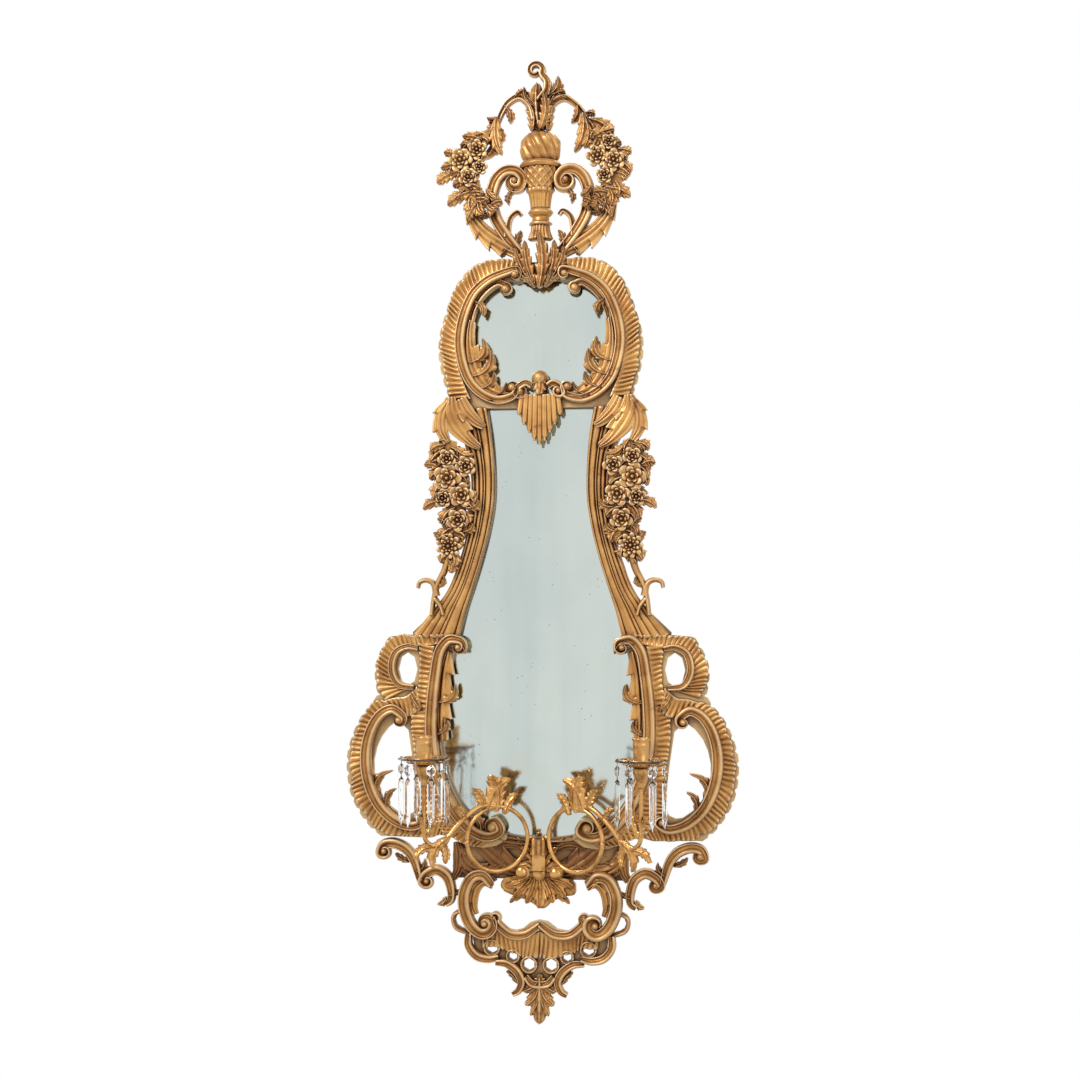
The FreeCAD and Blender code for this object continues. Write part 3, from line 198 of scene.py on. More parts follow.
def swelling(share, start, middle, end):
    """A width that swells from its ends to the middle of a scroll."""
    ends = np.where(share < 0.5, start, end)
    return ends + (middle - ends) * np.sin(np.pi * share) ** 0.7


def dome(centre, radius, back, rise, segments=20):
    """A turned button, with a ring cut round its crown."""
    r = np.linspace(0.06, 1, 9)
    height = np.sqrt(1 - np.minimum(r, 0.995) ** 2) - 0.16 * np.exp(-((r - 0.72) / 0.07) ** 2)
    a = np.linspace(0, 2 * np.pi, segments, endpoint=False)
    front = np.stack([centre[0] + radius * r[:, None] * np.cos(a),
                      back + rise * np.broadcast_to(height[:, None], (len(r), segments)),
                      centre[1] + radius * r[:, None] * np.sin(a)], axis=-1)
    return round_slab(front, back - 1)


def scroll(points, widths, back, rise, start_eye=None, end_eye=None, section=MOULDED, turns=0.9):
    """A moulded scroll with a volute round each given eye: parts for one piece."""
    line = list(points)
    if end_eye:
        line = wound(line, end_eye[0], turns)
    if start_eye:
        line = wound(line[::-1], start_eye[0], turns)[::-1]
    line = smooth_line(line)
    share = np.linspace(0, 1, len(line))
    width = swelling(share, *widths)
    taper = np.ones(len(line))
    if start_eye:
        taper *= np.clip(0.45 + share / 0.2, 0, 1)
    if end_eye:
        taper *= np.clip(0.45 + (1 - share) / 0.2, 0, 1)
    height = rise * (0.9 + 0.1 * np.sin(np.pi * share))
    parts = [sweep(line, width * taper, back, height, section)]
    for eye in (start_eye, end_eye):
        if eye:
            parts.append(dome(eye[0], eye[1], back, rise * 1.25))
    return parts


# %% [markdown]
# An **acanthus leaf** is the carver's everyday ornament: a raised midrib, lobes whose points
# sweep towards the tip, long grooves from the gouge, and a tip that curls forwards. A grid of
# points is pulled into that outline and given the height of a carved leaf.

# %% Leaves
def leaf(base, tip, width, back, rise, lobes=5, lean=0.0, curl=0.4, foot=0.14):
    base, tip = np.array(base, float), np.array(tip, float)
    run = tip - base
    length = np.linalg.norm(run)
    ahead = run / length
    across = np.array([-ahead[1], ahead[0]])
    s = np.linspace(0, 1, 9 * lobes)[:, None]
    t = np.linspace(-1, 1, 19)[None, :]
    tooth = np.clip(lobes * s % 1, 0, 1) ** 0.8 * np.clip(9 * (1 - lobes * s % 1), 0, 1)
    half = 0.5 * width * np.sin(np.pi * (foot + (1 - foot) * s)) ** 0.6 * (0.62 + 0.38 * tooth)
    half = np.maximum(half, 0.3)
    forward = 0.5 * half * np.abs(t) ** 1.6 * np.clip(4 * (1 - s), 0, 1)
    bend = lean * length * np.sin(np.pi * s)
    x = base[0] + run[0] * s + ahead[0] * forward + across[0] * (bend + half * t)
    z = base[1] + run[1] * s + ahead[1] * forward + across[1] * (bend + half * t)
    height = 0.38 + 0.42 * (1 - np.abs(t) ** 1.7) + 0.26 * np.exp(-(t / 0.11) ** 2)
    height = height - 0.17 * np.exp(-((np.abs(t) - 0.42) / 0.13) ** 2)
    height = height + 0.24 * (tooth - 0.5) * np.abs(t) ** 1.5 + curl * s ** 3
    front = np.stack([x, back + rise * np.clip(height, 0.12, None), z], axis=-1)
    return slab(front, back)


# %% [markdown]
# Where a leaf is long, it flows: **a leaf band** lies along a scroll, reeded from end to end by
# the gouge, and its free edge breaks into thorny lobes that curl forwards at their points.

# %% Leaf bands
def leaf_band(points, widths, back, rise, lobes=4, edge=1, reeds=3, reach=0.8):
    """A reeded leaf along drawn points; edge is 1 for lobes on its left and -1 for its right."""
    line = smooth_line(points)
    share = np.linspace(0, 1, len(line))[:, None]
    width = np.interp(share[:, 0], np.linspace(0, 1, len(widths)), widths)[:, None]
    side = left_of(line) * edge
    ahead = np.column_stack([left_of(line)[:, 1], -left_of(line)[:, 0]])
    u = np.linspace(-1, 1, 23)[None, :]
    tooth = (lobes * share % 1) ** 1.3 * np.clip(8 * (1 - lobes * share % 1), 0, 1)
    free = np.clip(u, 0, 1) ** 2
    out = 0.5 * width * (u + reach * tooth * free)
    push = 0.35 * width * tooth * free
    x = line[:, :1] + side[:, :1] * out + ahead[:, :1] * push
    z = line[:, 1:] + side[:, 1:] * out + ahead[:, 1:] * push
    height = 0.5 + 0.3 * (1 - u ** 2) + 0.22 * (np.abs(np.cos(0.5 * np.pi * reeds * (u + 1))) ** 0.7 - 0.5)
    height = height + 0.42 * (tooth - 0.25) * free
    front = np.stack([x, back + rise * np.clip(height, 0.1, None), z], axis=-1)
    return slab(front, back)


# %% [markdown]
# **Flowers** are rings of cupped petals, each ring smaller and higher and turned half a petal,
# round a button. A rose has three rings of broad petals, and the round fruits have one of many.

# %% Flowers
def petal_ring(centre, radius, count, back, rise, turn):
    r = np.linspace(0.08, 1, 10)[:, None]
    a = np.linspace(0, 2 * np.pi, 12 * count, endpoint=False)[None, :]
    lobe = np.abs(np.cos(0.5 * count * (a - turn))) ** 0.45
    reach = radius * (0.5 + 0.5 * lobe) * r
    height = (0.3 + 0.7 * r ** 1.6 * (1 - 0.35 * np.clip(r - 0.85, 0, 1) / 0.15)) * (0.35 + 0.65 * lobe)
    front = np.stack([centre[0] + reach * np.cos(a), back + rise * height * np.ones_like(a),
                      centre[1] + reach * np.sin(a)], axis=-1)
    return round_slab(front, back - 0.5)


def flower(centre, radius, count, back, rise, turn=0.0):
    """Three rings of petals and a button: parts for one piece."""
    half = math.pi / count
    return [petal_ring(centre, radius, count, back, rise * 0.62, turn),
            petal_ring(centre, radius * 0.7, count, back, rise * 0.86, turn + half),
            petal_ring(centre, radius * 0.42, count, back, rise, turn + 0.4 * half),
            dome(centre, radius * 0.18, back, rise * 0.9, 10)]


# %% [markdown]
# **Rocaille** is the frilled shell-work at the frame's edges: flutes run out from a scroll to a
# scalloped rim. It is a grid between two lines, pushed in and out once for each flute.

# %% Frills
FLUTES_IN_A_SHELL = 4


def frill(inner, outer, flutes, back, depths, flute=3.0, scallop=3.0, dip=1.5, ragged=0.5):
    """Flutes between two lines; depths are the heights above the back, at each line."""
    rows = flutes * 8 + 1
    a, b = resample(smooth_line(inner), rows), resample(smooth_line(outer), rows)
    s = np.linspace(0, 1, rows)[:, None]
    t = np.linspace(0, 1, 12)[None, :]
    wave = np.abs(np.sin(np.pi * flutes * s)) ** 0.75
    longer = 1 - ragged * rng.random(flutes + 1)[np.minimum((flutes * s).astype(int), flutes)]
    out = (b - a) / np.maximum(np.linalg.norm(b - a, axis=1), 1e-6)[:, None]
    # a few flutes together make one lobe of the edge, and they sway along it
    shells = np.abs(np.sin(np.pi * flutes / FLUTES_IN_A_SHELL * s)) ** 0.6
    far = scallop * (0.5 * wave * longer + 0.9 * shells - 0.95) * t ** 3
    sway = 0.12 * np.sin(2 * np.pi * flutes / 9 * s) * t ** 2
    x = a[:, :1] + (b - a)[:, :1] * t + out[:, :1] * far + (b - a)[:, 1:] * sway
    z = a[:, 1:] + (b - a)[:, 1:] * t + out[:, 1:] * far - (b - a)[:, :1] * sway
    height = depths[0] + (depths[1] - depths[0]) * t - dip * np.sin(np.pi * t)
    height = height + flute * (wave * longer - 0.5) * np.clip(3.2 * t, 0, 1)
    front = np.stack([x, back + np.maximum(height, 0.4), z], axis=-1)
    return slab(front, back)


# %% [markdown]
# Turned work, such as the urn, the nozzles and the cups, comes from a profile that goes round
# an axis. Gadroons, the swelling lobes on the urn, are a ripple of the radius.

# %% Turned work
def turned(profile, centre=(0, 0), segments=48, relief=None, arc=2 * math.pi):
    """A profile of (radius, height) turned about an upright axis at (across, forward)."""
    full = arc > 6.2
    a = np.linspace(0, arc, segments, endpoint=not full)[None, :] - (0 if full else arc / 2)
    r = np.array([p[0] for p in profile], float)[:, None] * np.ones_like(a)
    z = np.array([p[1] for p in profile], float)[:, None] * np.ones_like(a)
    if relief:
        r = r * (1 + relief(a, z))
    places = np.stack([centre[0] + r * np.sin(a), centre[1] + r * np.cos(a), z], axis=-1)
    return tube(places)


def gadroons(count, depth):
    """Swelling lobes side by side, as on a melon."""
    return lambda a, z: depth * (np.abs(np.cos(0.5 * count * a)) ** 0.6 - 0.7)


def rod(line, radii, centre=0.0, segments=12):
    """A round rod along a line, its middle at one depth; radii are given at each point."""
    side = left_of(line)
    a = np.linspace(0, 2 * np.pi, segments, endpoint=False)
    across, forward = np.cos(a), np.sin(a)
    flat = line[:, None, :] + side[:, None, :] * (across[None, :, None] * radii[:, None, None])
    depth = centre + radii[:, None] * forward[None, :]
    return tube(np.stack([flat[..., 0], depth, flat[..., 1]], axis=-1))


# %% [markdown]
# A piece becomes a mesh here. On the board, forward is towards the viewer, which is the
# negative Y of the frame. A piece says which body it rides on, which node it stands for and
# which finish it takes.

# %% From the bench to the frame
def on_board(p):
    return np.column_stack([p[:, 0], -p[:, 1], p[:, 2]]) * MM


made = []


LAYER = 0.06


def piece(name, parts, finish, body="frame", stands_for=(), where=on_board, sharp=False):
    """Join the parts into one mesh, laid where they belong, and hand it to the frame.

    Parts on the board stand a hair in front of each other, so that no two backs share a plane."""
    places, faces, offset = [], [], 0
    for i, (part_places, part_faces) in enumerate(parts):
        places.append(part_places + np.array([0, LAYER * i if where is on_board else 0, 0]))
        faces += [[int(v) + offset for v in face] for face in part_faces]
        offset += len(part_places)
    mesh = bpy.data.meshes.new(name)
    mesh.from_pydata(where(np.vstack(places)).tolist(), [], faces)
    work = bmesh.new()
    work.from_mesh(mesh)
    bmesh.ops.remove_doubles(work, verts=work.verts, dist=1e-6)
    bmesh.ops.recalc_face_normals(work, faces=work.faces)
    work.to_mesh(mesh)
    work.free()
    mesh.shade_flat() if sharp else mesh.shade_smooth()
    thing = bpy.data.objects.new(name, mesh)
    bpy.context.scene.collection.objects.link(thing)
    mesh.materials.append(finish)
    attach(thing, body)
    if stands_for:
        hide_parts(*stands_for)
    made.append((name, len(mesh.polygons)))
    return thing

# %% [markdown]
# ** Gilding.** Real water gilding is warm and uneven: thin leaf over red-brown bole. It is rubbed
# through on the high points. An image could show that only on one side, so the finish is worked
# out from the shape: painted shade darkens a place the more closed-in it is, a painted highlight
# brightens it the sharper it is, and cloudy noise breaks both up.

# %% Tools for finishes
def srgb(r, g, b):
    """A colour as it looks on a screen, 0 to 255, in the linear values that shaders take."""
    def linear(v):
        v /= 255
        return v / 12.92 if v <= 0.04045 else ((v + 0.055) / 1.055) ** 2.4
    return (linear(r), linear(g), linear(b), 1.0)


class Finish:
    """A node material, built step by step."""

    def __init__(self, name):
        self.material = bpy.data.materials.new(name)
        self.material.use_nodes = True
        self.tree = self.material.node_tree
        self.shader = self.tree.nodes["Principled BSDF"]
        self.place = self.node("ShaderNodeTexCoord").outputs["Object"]

    def node(self, kind, **settings):
        made_node = self.tree.nodes.new(kind)
        for key, value in settings.items():
            setattr(made_node, key, value)
        return made_node

    def link(self, source, target):
        self.tree.links.new(source, target)

    def noise(self, scale, detail=4.0, stretch=None):
        n = self.node("ShaderNodeTexNoise")
        n.inputs["Scale"].default_value = scale
        n.inputs["Detail"].default_value = detail
        source = self.place
        if stretch:
            mapping = self.node("ShaderNodeMapping")
            mapping.inputs["Scale"].default_value = stretch
            self.link(self.place, mapping.inputs["Vector"])
            source = mapping.outputs["Vector"]
        self.link(source, n.inputs["Vector"])
        return n.outputs["Fac"]

    def band(self, source, low, high, reverse=False):
        """0 below low, 1 above high, and smooth between."""
        n = self.node("ShaderNodeMapRange", interpolation_type="SMOOTHSTEP")
        n.inputs["From Min"].default_value = low
        n.inputs["From Max"].default_value = high
        if reverse:
            n.inputs["To Min"].default_value = 1.0
            n.inputs["To Max"].default_value = 0.0
        self.link(source, n.inputs["Value"])
        return n.outputs["Result"]

    def between(self, source, low, high):
        """The source, 0 to 1, brought between two values."""
        n = self.node("ShaderNodeMapRange")
        n.inputs["To Min"].default_value = low
        n.inputs["To Max"].default_value = high
        self.link(source, n.inputs["Value"])
        return n.outputs["Result"]

    def times(self, a, b):
        n = self.node("ShaderNodeMath", operation="MULTIPLY", use_clamp=True)
        for socket, value in zip(n.inputs, (a, b)):
            if isinstance(value, float):
                socket.default_value = value
            else:
                self.link(value, socket)
        return n.outputs["Value"]

    def mix(self, share, a, b):
        n = self.node("ShaderNodeMix", data_type="RGBA")
        self.link(share, n.inputs["Factor"])
        for socket, value in ((n.inputs["A"], a), (n.inputs["B"], b)):
            if isinstance(value, tuple):
                socket.default_value = value
            else:
                self.link(value, socket)
        return n.outputs["Result"]

    def bump(self, height, distance, strength=1.0):
        n = self.node("ShaderNodeBump")
        n.inputs["Distance"].default_value = distance
        n.inputs["Strength"].default_value = strength
        self.link(height, n.inputs["Height"])
        self.link(n.outputs["Normal"], self.shader.inputs["Normal"])

    def set(self, **sockets):
        for name, value in sockets.items():
            socket = self.shader.inputs[name.replace("_", " ")]
            if isinstance(value, (int, float, tuple)):
                socket.default_value = value
            else:
                self.link(value, socket)


# %% Gilding
def gilding(name, leaf_colour, deep_colour, painted_highlight_colour, bole_and_shade_colour, hollow=0.02, metal=0.5):
    f = Finish(name)
    cloud, fine, patch = f.noise(26.0, 5.0), f.noise(240.0, 3.0), f.noise(60.0, 6.0)
    colour = f.mix(f.band(cloud, 0.38, 0.66), leaf_colour, deep_colour)
    # painted highlight: sharp ridges are lightened towards the highlight colour
    edge = f.node("ShaderNodeNewGeometry").outputs["Pointiness"]
    colour = f.mix(f.times(f.band(edge, 0.51, 0.60), 0.75), colour, painted_highlight_colour)
    # painted shade: closed-in hollows are darkened towards the dark bole colour, which the worn patches
    # below also show
    shut = f.node("ShaderNodeAmbientOcclusion", samples=6)
    shut.inputs["Distance"].default_value = hollow
    closed = f.band(shut.outputs["AO"], 0.30, 0.90, reverse=True)
    colour = f.mix(f.times(closed, 0.94), colour, bole_and_shade_colour)
    worn = f.times(f.band(patch, 0.60, 0.72), f.band(cloud, 0.45, 0.62))
    colour = f.mix(f.times(worn, 0.7), colour, bole_and_shade_colour)
    f.set(Base_Color=colour, Metallic=metal, Roughness=f.between(fine, 0.30, 0.50))
    f.bump(f.noise(420.0, 4.0), 0.0005, 0.5)
    return f.material


# For each gilding, the third colour is a painted highlight on sharp ridges, and the fourth is painted shade
# in hollows and also the bare bole where the gilt is worn.
GOLD = gilding("gilt_carving", srgb(216, 163, 92), srgb(182, 127, 64), srgb(254, 232, 192),
               srgb(96, 46, 20))
GROUND_GOLD = gilding("gilt_ground", srgb(186, 132, 70), srgb(146, 95, 46), srgb(236, 200, 142),
                      srgb(84, 42, 18), hollow=0.028, metal=0.42)
# A copy of the gilding with every colour darker: painted shade for the sight edges, the boards' fronts and
# the foot rail.
DARK_GOLD = gilding("gilt_in_painted_shade", srgb(158, 106, 52), srgb(116, 70, 32), srgb(218, 174, 112),
                    srgb(70, 34, 14), hollow=0.02, metal=0.38)

# %% [markdown]
# **Plates.** Old plate glass was silvered by hand. It is a cool, slightly green mirror, clouded
# and streaked where damp has crept under the silvering, and freckled with tiny dark spots.

# %% Old mirror plate
def old_plate(name):
    f = Finish(name)
    cloud, streak = f.noise(5.0, 6.0), f.noise(9.0, 4.0, (1.0, 1.0, 0.10))
    spots = f.node("ShaderNodeTexVoronoi")
    spots.inputs["Scale"].default_value = 95.0
    f.link(f.place, spots.inputs["Vector"])
    colour = f.mix(f.band(cloud, 0.35, 0.70), srgb(206, 214, 208), srgb(196, 206, 203))
    colour = f.mix(f.times(f.band(streak, 0.48, 0.74), 0.55), colour, srgb(178, 192, 192))
    colour = f.mix(f.times(f.band(f.noise(14.0, 6.0), 0.55, 0.78), 0.3), colour, srgb(196, 200, 186))
    freckle = f.times(f.band(spots.outputs["Distance"], 0.06, 0.13, reverse=True),
                      f.band(f.noise(18.0), 0.52, 0.60))
    colour = f.mix(f.times(freckle, 0.65), colour, srgb(96, 92, 84))
    f.set(Base_Color=colour, Metallic=1.0, Roughness=f.between(f.noise(30.0), 0.03, 0.16))
    f.bump(f.noise(3.0, 2.0), 0.0004, 0.12)
    return f.material


PLATE = old_plate("old_mirror_plate")

# %% [markdown]
# The branches are cast and gilded **brass**, the hanging plates are **iron**, the boards are
# **pine**, bare at the back and washed with bole where an edge shows. Each gets its own noise:
# soft clouds of tarnish, speckled rust, and grain that is drawn out along the board.

# %% Brass, iron and pine
def brass(name):
    f = Finish(name)
    tarnish = f.noise(70.0, 5.0)
    colour = f.mix(f.band(tarnish, 0.42, 0.68), srgb(218, 166, 100), srgb(176, 124, 66))
    # painted shade: closed-in hollows are darkened towards a deep brown
    shut = f.node("ShaderNodeAmbientOcclusion", samples=6)
    shut.inputs["Distance"].default_value = 0.01
    closed = f.band(shut.outputs["AO"], 0.30, 0.90, reverse=True)
    colour = f.mix(f.times(closed, 0.9), colour, srgb(78, 42, 18))
    f.set(Base_Color=colour, Metallic=0.75, Roughness=f.between(f.noise(160.0), 0.20, 0.36))
    f.bump(f.noise(300.0, 3.0), 0.0004, 0.3)
    return f.material


def iron(name):
    f = Finish(name)
    rust = f.band(f.noise(160.0, 6.0), 0.46, 0.62)
    f.set(Base_Color=f.mix(rust, srgb(70, 66, 62), srgb(104, 66, 42)), Metallic=0.7,
          Roughness=f.between(f.noise(90.0), 0.45, 0.75))
    f.bump(f.noise(350.0), 0.0003, 0.5)
    return f.material


def pine(name, pale, dark, scale):
    f = Finish(name)
    grain = f.noise(scale, 6.0, (14.0, 14.0, 0.8))
    knots = f.noise(7.0, 3.0)
    colour = f.mix(f.band(grain, 0.35, 0.68), pale, dark)
    colour = f.mix(f.times(f.band(knots, 0.58, 0.72), 0.45), colour, dark)
    f.set(Base_Color=colour, Roughness=f.between(grain, 0.55, 0.8))
    f.bump(grain, 0.0006, 0.5)
    return f.material


BRASS = brass("gilt_brass_casting")
IRON = iron("dark_iron")
WASHED_PINE = pine("bole_washed_pine", srgb(124, 78, 40), srgb(98, 58, 30), 7.0)
BARE_PINE = pine("bare_pine", srgb(178, 142, 100), srgb(130, 94, 60), 12.0)

# %% [markdown]
# **Cut glass** is clear, so its look is nearly all refraction and reflection: a shader with full
# transmission and the index of lead glass. The base colour stays almost white, a little cloudy
# with old dust that the noise puts on it. The drops are made of it, and so are the two pans.

# %% Cut glass
def cut_glass(name):
    f = Finish(name)
    dust = f.band(f.noise(90.0), 0.5, 0.8)
    f.set(Base_Color=f.mix(dust, srgb(252, 253, 254), srgb(232, 238, 242)),
          Roughness=f.between(dust, 0.0, 0.05), IOR=1.56, Transmission_Weight=1.0)
    f.bump(f.noise(140.0, 2.0), 0.0002, 0.15)
    return f.material


GLASS = cut_glass("cut_glass_drop")

# %% [markdown]
# The nodes whose shape is already right keep it and only take a finish: the boards, the plates,
# the grounds that the carving lies on, and the hidden work at the back.

# %% Finishes for the solid nodes
def finish_nodes(finish, *names):
    for name in names:
        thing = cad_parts[name]
        thing.data.materials.clear()
        thing.data.materials.append(finish)


SIDES = (("right", 1), ("left", -1))
for word, _ in SIDES:
    finish_nodes(GROUND_GOLD, word + "_upper_ruffle", word + "_side_ruffle")
    finish_nodes(WASHED_PINE, word + "_stile_board")
    finish_nodes(GLASS, word + "_drip_pan")
finish_nodes(GROUND_GOLD, "apron_shell")
finish_nodes(BRASS, "arm_bracket")
finish_nodes(WASHED_PINE, "upper_carcass", "bottom_board")
finish_nodes(BARE_PINE, "upper_backboard", "lower_backboard", "backboard_blocks")
finish_nodes(PLATE, "upper_mirror_plate", "lower_mirror_plate")
finish_nodes(IRON, "hanging_plates", "hanging_screws")

# %% [markdown]
# The sight edges, the inner edges of the boards round the plates, are gilded too, and so are the
# boards' fronts where carving covers them, both in the darker gilding that paints their shade. The
# boards keep their shape, and only those faces change their finish.

# %% Gilded sight edges and fronts
def gild_sight_edges(name, middle_z):
    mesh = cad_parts[name].data
    mesh.materials.append(DARK_GOLD)
    count = 0
    for face in mesh.polygons:
        inwards = Vector((-face.center.x, 0, middle_z - face.center.z))
        inner = abs(face.normal.y) < 0.3 and face.normal.dot(inwards) > 0 and face.center.y < -0.011
        if inner or face.normal.y < -0.5:
            face.material_index = 1
            count += 1
    print(name, "gilded faces:", count)


for name, middle_z in (("upper_carcass", 0.09), ("right_stile_board", -0.35),
                       ("left_stile_board", -0.35), ("bottom_board", -0.4)):
    gild_sight_edges(name, middle_z)

# %% [markdown]
# **The upper frame** is an oval of two great C-scrolls, back to back, with frilled rocaille
# round them. A second, smaller scroll runs inside each at the top. Below, each C turns into a
# long reeded leaf whose thorny lobes break out over the glass.

# %% The upper frame
RUFFLE_OUTER = [(32, 208), (70.4, 211.2), (102.4, 203.2), (126.4, 180.8), (140.8, 156.8), (150.4, 129.6),
                (158.4, 100.8), (160, 68.8), (155.2, 30.4), (148.8, 4.8), (142.4, -14.4)]
RUFFLE_INNER = [(35.2, 196.8), (65.6, 192), (91.2, 180.8), (110.4, 160), (123.2, 136), (132.8, 105.6),
                (136, 72), (131.2, 36.8), (121.6, 8), (112, -14.4)]
UPPER_RING = [(38.4, 193.6), (60.8, 187.2), (83.2, 177.6), (104, 160), (116.8, 137.6), (126.4, 107.2),
              (129.6, 76.8), (124.8, 44.8), (113.6, 16), (94.4, -4.8), (68.8, -16), (44.8, -11.2),
              (38.4, -1.6)]
INNER_SCROLL = [(57.6, 169.6), (68.8, 172.8), (84.8, 163.2), (99.2, 147.2), (108.8, 126.4), (113.6, 104)]
GLASS_LEAF = [(38.4, -8), (67.2, -8), (89.6, 6.4), (105.6, 30.4), (113.6, 59.2), (115.2, 91.2),
              (112, 113.6)]
RING_LEAVES = (((115.2, 43.2), (91.2, 83.2), 24, 0.28), ((112, 20.8), (78.4, 64), 24, 0.25),
               ((99.2, 1.6), (72, 27.2), 19.2, 0.2), ((80, -9.6), (52.8, 11.2), 14.4, 0.2),
               ((105.6, 144), (91.2, 120), 16, -0.2))
RUFFLE_BACK = 29
SCROLL_BACK = 29.5

for word, side in SIDES:
    ring = mirrored(UPPER_RING, side)
    parts = scroll(ring, (11.2, 17.6, 11.2), SCROLL_BACK, 14, (mirrored([(40, 185.6)], side)[0], 8),
                   (mirrored([(44.8, 3.2)], side)[0], 8.8))
    parts += scroll(mirrored(INNER_SCROLL, side), (12.8, 12.8, 8), SCROLL_BACK - 4, 12,
                    (mirrored([(56, 163.2)], side)[0], 9.6))
    parts.append(leaf_band(mirrored(GLASS_LEAF, side), [14.4, 22.4, 27.2, 28.8, 24, 16, 8], SCROLL_BACK - 4,
                           14, 4, side, 3, 0.7))
    for base, tip, width, lean in RING_LEAVES:
        ends = mirrored((base, tip), side)
        parts.append(leaf(*ends, width, SCROLL_BACK, 11, 3, lean * side))
    piece(word + "_upper_scroll_carved", parts, GOLD, stands_for=[word + "_upper_scroll"])
    rim = frill(mirrored(RUFFLE_INNER, side), mirrored(RUFFLE_OUTER, side), 36, RUFFLE_BACK, (8, 5), 4.0,
                4.5)
    piece(word + "_upper_frill", [rim], GOLD)

# %% [markdown]
# Between the tiers hangs a fan of **drip-work**: flat rods like icicles that end in steps, under
# a curled hood. Two little scrolls run out from the hood along the rail.

# %% The middle pendant
DROP_FEET = (449, 443, 437, 427, 419)

parts = [dome((0, 17.6), 13.6, 30, 13), leaf((0, 24), (0, -9.6), 24, 33, 9, 3)]
for i in range(9):
    away = i - 4
    top = (away * 7.2, (0, -9.6)[1] + abs(away) * 0.6)
    foot = (away * 8.3, (393 - DROP_FEET[abs(away)] - (2 if i % 2 else 0)) * 1.6)
    line = smooth_line([top, ((top[0] + foot[0]) / 2, (top[1] + foot[1]) / 2), foot])
    share = np.linspace(0, 1, len(line))
    width = 9 * np.clip(9 * (1 - share), 0.5, 1)
    parts.append(sweep(line, width, 29, 9 + 2 * share + 1.5 * (i % 2), STEM))
for hand in (1, -1):
    curl = mirrored([(12.8, 4.8), (22.4, 9.6), (33.6, 3.2), (36.8, -6.4)], hand)
    parts += scroll(curl, (11.2, 12.8, 8), 29, 13, None, (mirrored([(30.4, -3.2)], hand)[0], 6.4))
    parts.append(leaf(*mirrored(((38.4, -11.2), (83.2, -19.2)), hand), 12.8, 29.5, 8, 3, 0.1 * hand))
piece("middle_pendant_carved", parts, GOLD, stands_for=["middle_pendant"])

# %% [markdown]
# **The stiles** are the long reeded mouldings at each side of the tall plate. Reeds of unequal
# width run down them like a bundle of stems, and flowing leaves tie them at the shoulders.

# %% Reeded stiles and shoulder leaves
STILE_INNER = [(86.4, -28.8), (78.4, -80), (74.6, -136), (75.7, -180.8), (83.2, -225.6), (94.4, -270.4),
               (107.2, -312), (120, -352), (131.2, -398.4)]
STILE_OUTER = [(139.2, -28.8), (123.2, -83.2), (112, -139.2), (113.6, -195.2), (121.6, -243.2),
               (134.4, -286.4), (150.4, -324.8), (176, -358.4), (206.4, -395.2)]
REED_EDGES = (0.0, 0.12, 0.36, 0.46, 0.64, 0.82, 1.0)
REED_RISES = (13, 16, 14, 15, 16, 14)
SHOULDER_BANDS = (([(144, -11.2), (144, -35.2), (131.2, -60.8), (112, -83.2), (96, -94.4)],
                   [16, 32, 32, 19.2, 6.4], 3, -1),
                  ([(128, -14.4), (118.4, -33.6), (102.4, -49.6), (88, -59.2)], [19.2, 24, 17.6, 6.4], 2,
                   1), ([(147.2, -17.6), (158.4, -40), (158.4, -64), (147.2, -84.8)],
                        [12.8, 22.4, 20.8, 8], 3, 1))

for word, side in SIDES:
    inner = resample(smooth_line(mirrored(STILE_INNER, side)), 160)
    outer = resample(smooth_line(mirrored(STILE_OUTER, side)), 160)
    gap = np.linalg.norm(outer - inner, axis=1)
    parts = []
    for low, high, rise in zip(REED_EDGES, REED_EDGES[1:], REED_RISES):
        reed = inner * (1 - (low + high) / 2) + outer * (low + high) / 2
        parts.append(sweep(reed, (high - low) * gap, 20, np.full(160, float(rise)), STEM))
    piece(word + "_stile_reeds", parts, GOLD, stands_for=[word + "_stile_moulding"])
    parts = []
    for points, widths, lobes, edge in SHOULDER_BANDS:
        parts.append(leaf_band(mirrored(points, side), widths, 33, 12, lobes, edge * side, 3, 0.5))
    piece(word + "_shoulder_leaf_carved", parts, GOLD, stands_for=[word + "_shoulder_leaf"])

# %% [markdown]
# **Garlands.** A garland is made as the carver made it: a low leafy ground first, then leaves
# that stick out to both sides, then flowers and berries where the eye should stop. The small
# leaves are scattered by a seeded draw, so the garland looks grown and is the same every time.

# %% Garlands
def garland(spine, widths, back, rise, leaf_size, count):
    """Leaves scattered along a drawn line, turned outwards and down it: parts for one piece."""
    line = smooth_line(spine)
    share = np.linspace(0, 1, len(line))
    width = np.interp(share, np.linspace(0, 1, len(widths)), widths)
    side = left_of(line)
    parts = [sweep(line, width * 0.66, back, np.full(len(line), rise * 0.45), STEM)]
    for i in range(count):
        at = int((i + 0.5) / count * (len(line) - 1))
        hand = 1 if i % 2 else -1
        along = np.array([side[at][1], -side[at][0]])
        out = side[at] * hand
        reach = 0.5 * width[at]
        base = line[at] + out * reach * random.uniform(0.0, 0.25)
        tip = line[at] + out * reach * random.uniform(0.85, 1.1)
        tip = tip + along * leaf_size * random.uniform(0.1, 0.8)
        parts.append(leaf(base, tip, leaf_size * random.uniform(0.6, 0.85), back,
                          rise * random.uniform(0.8, 1.1), 3, 0.15 * hand))
    return parts


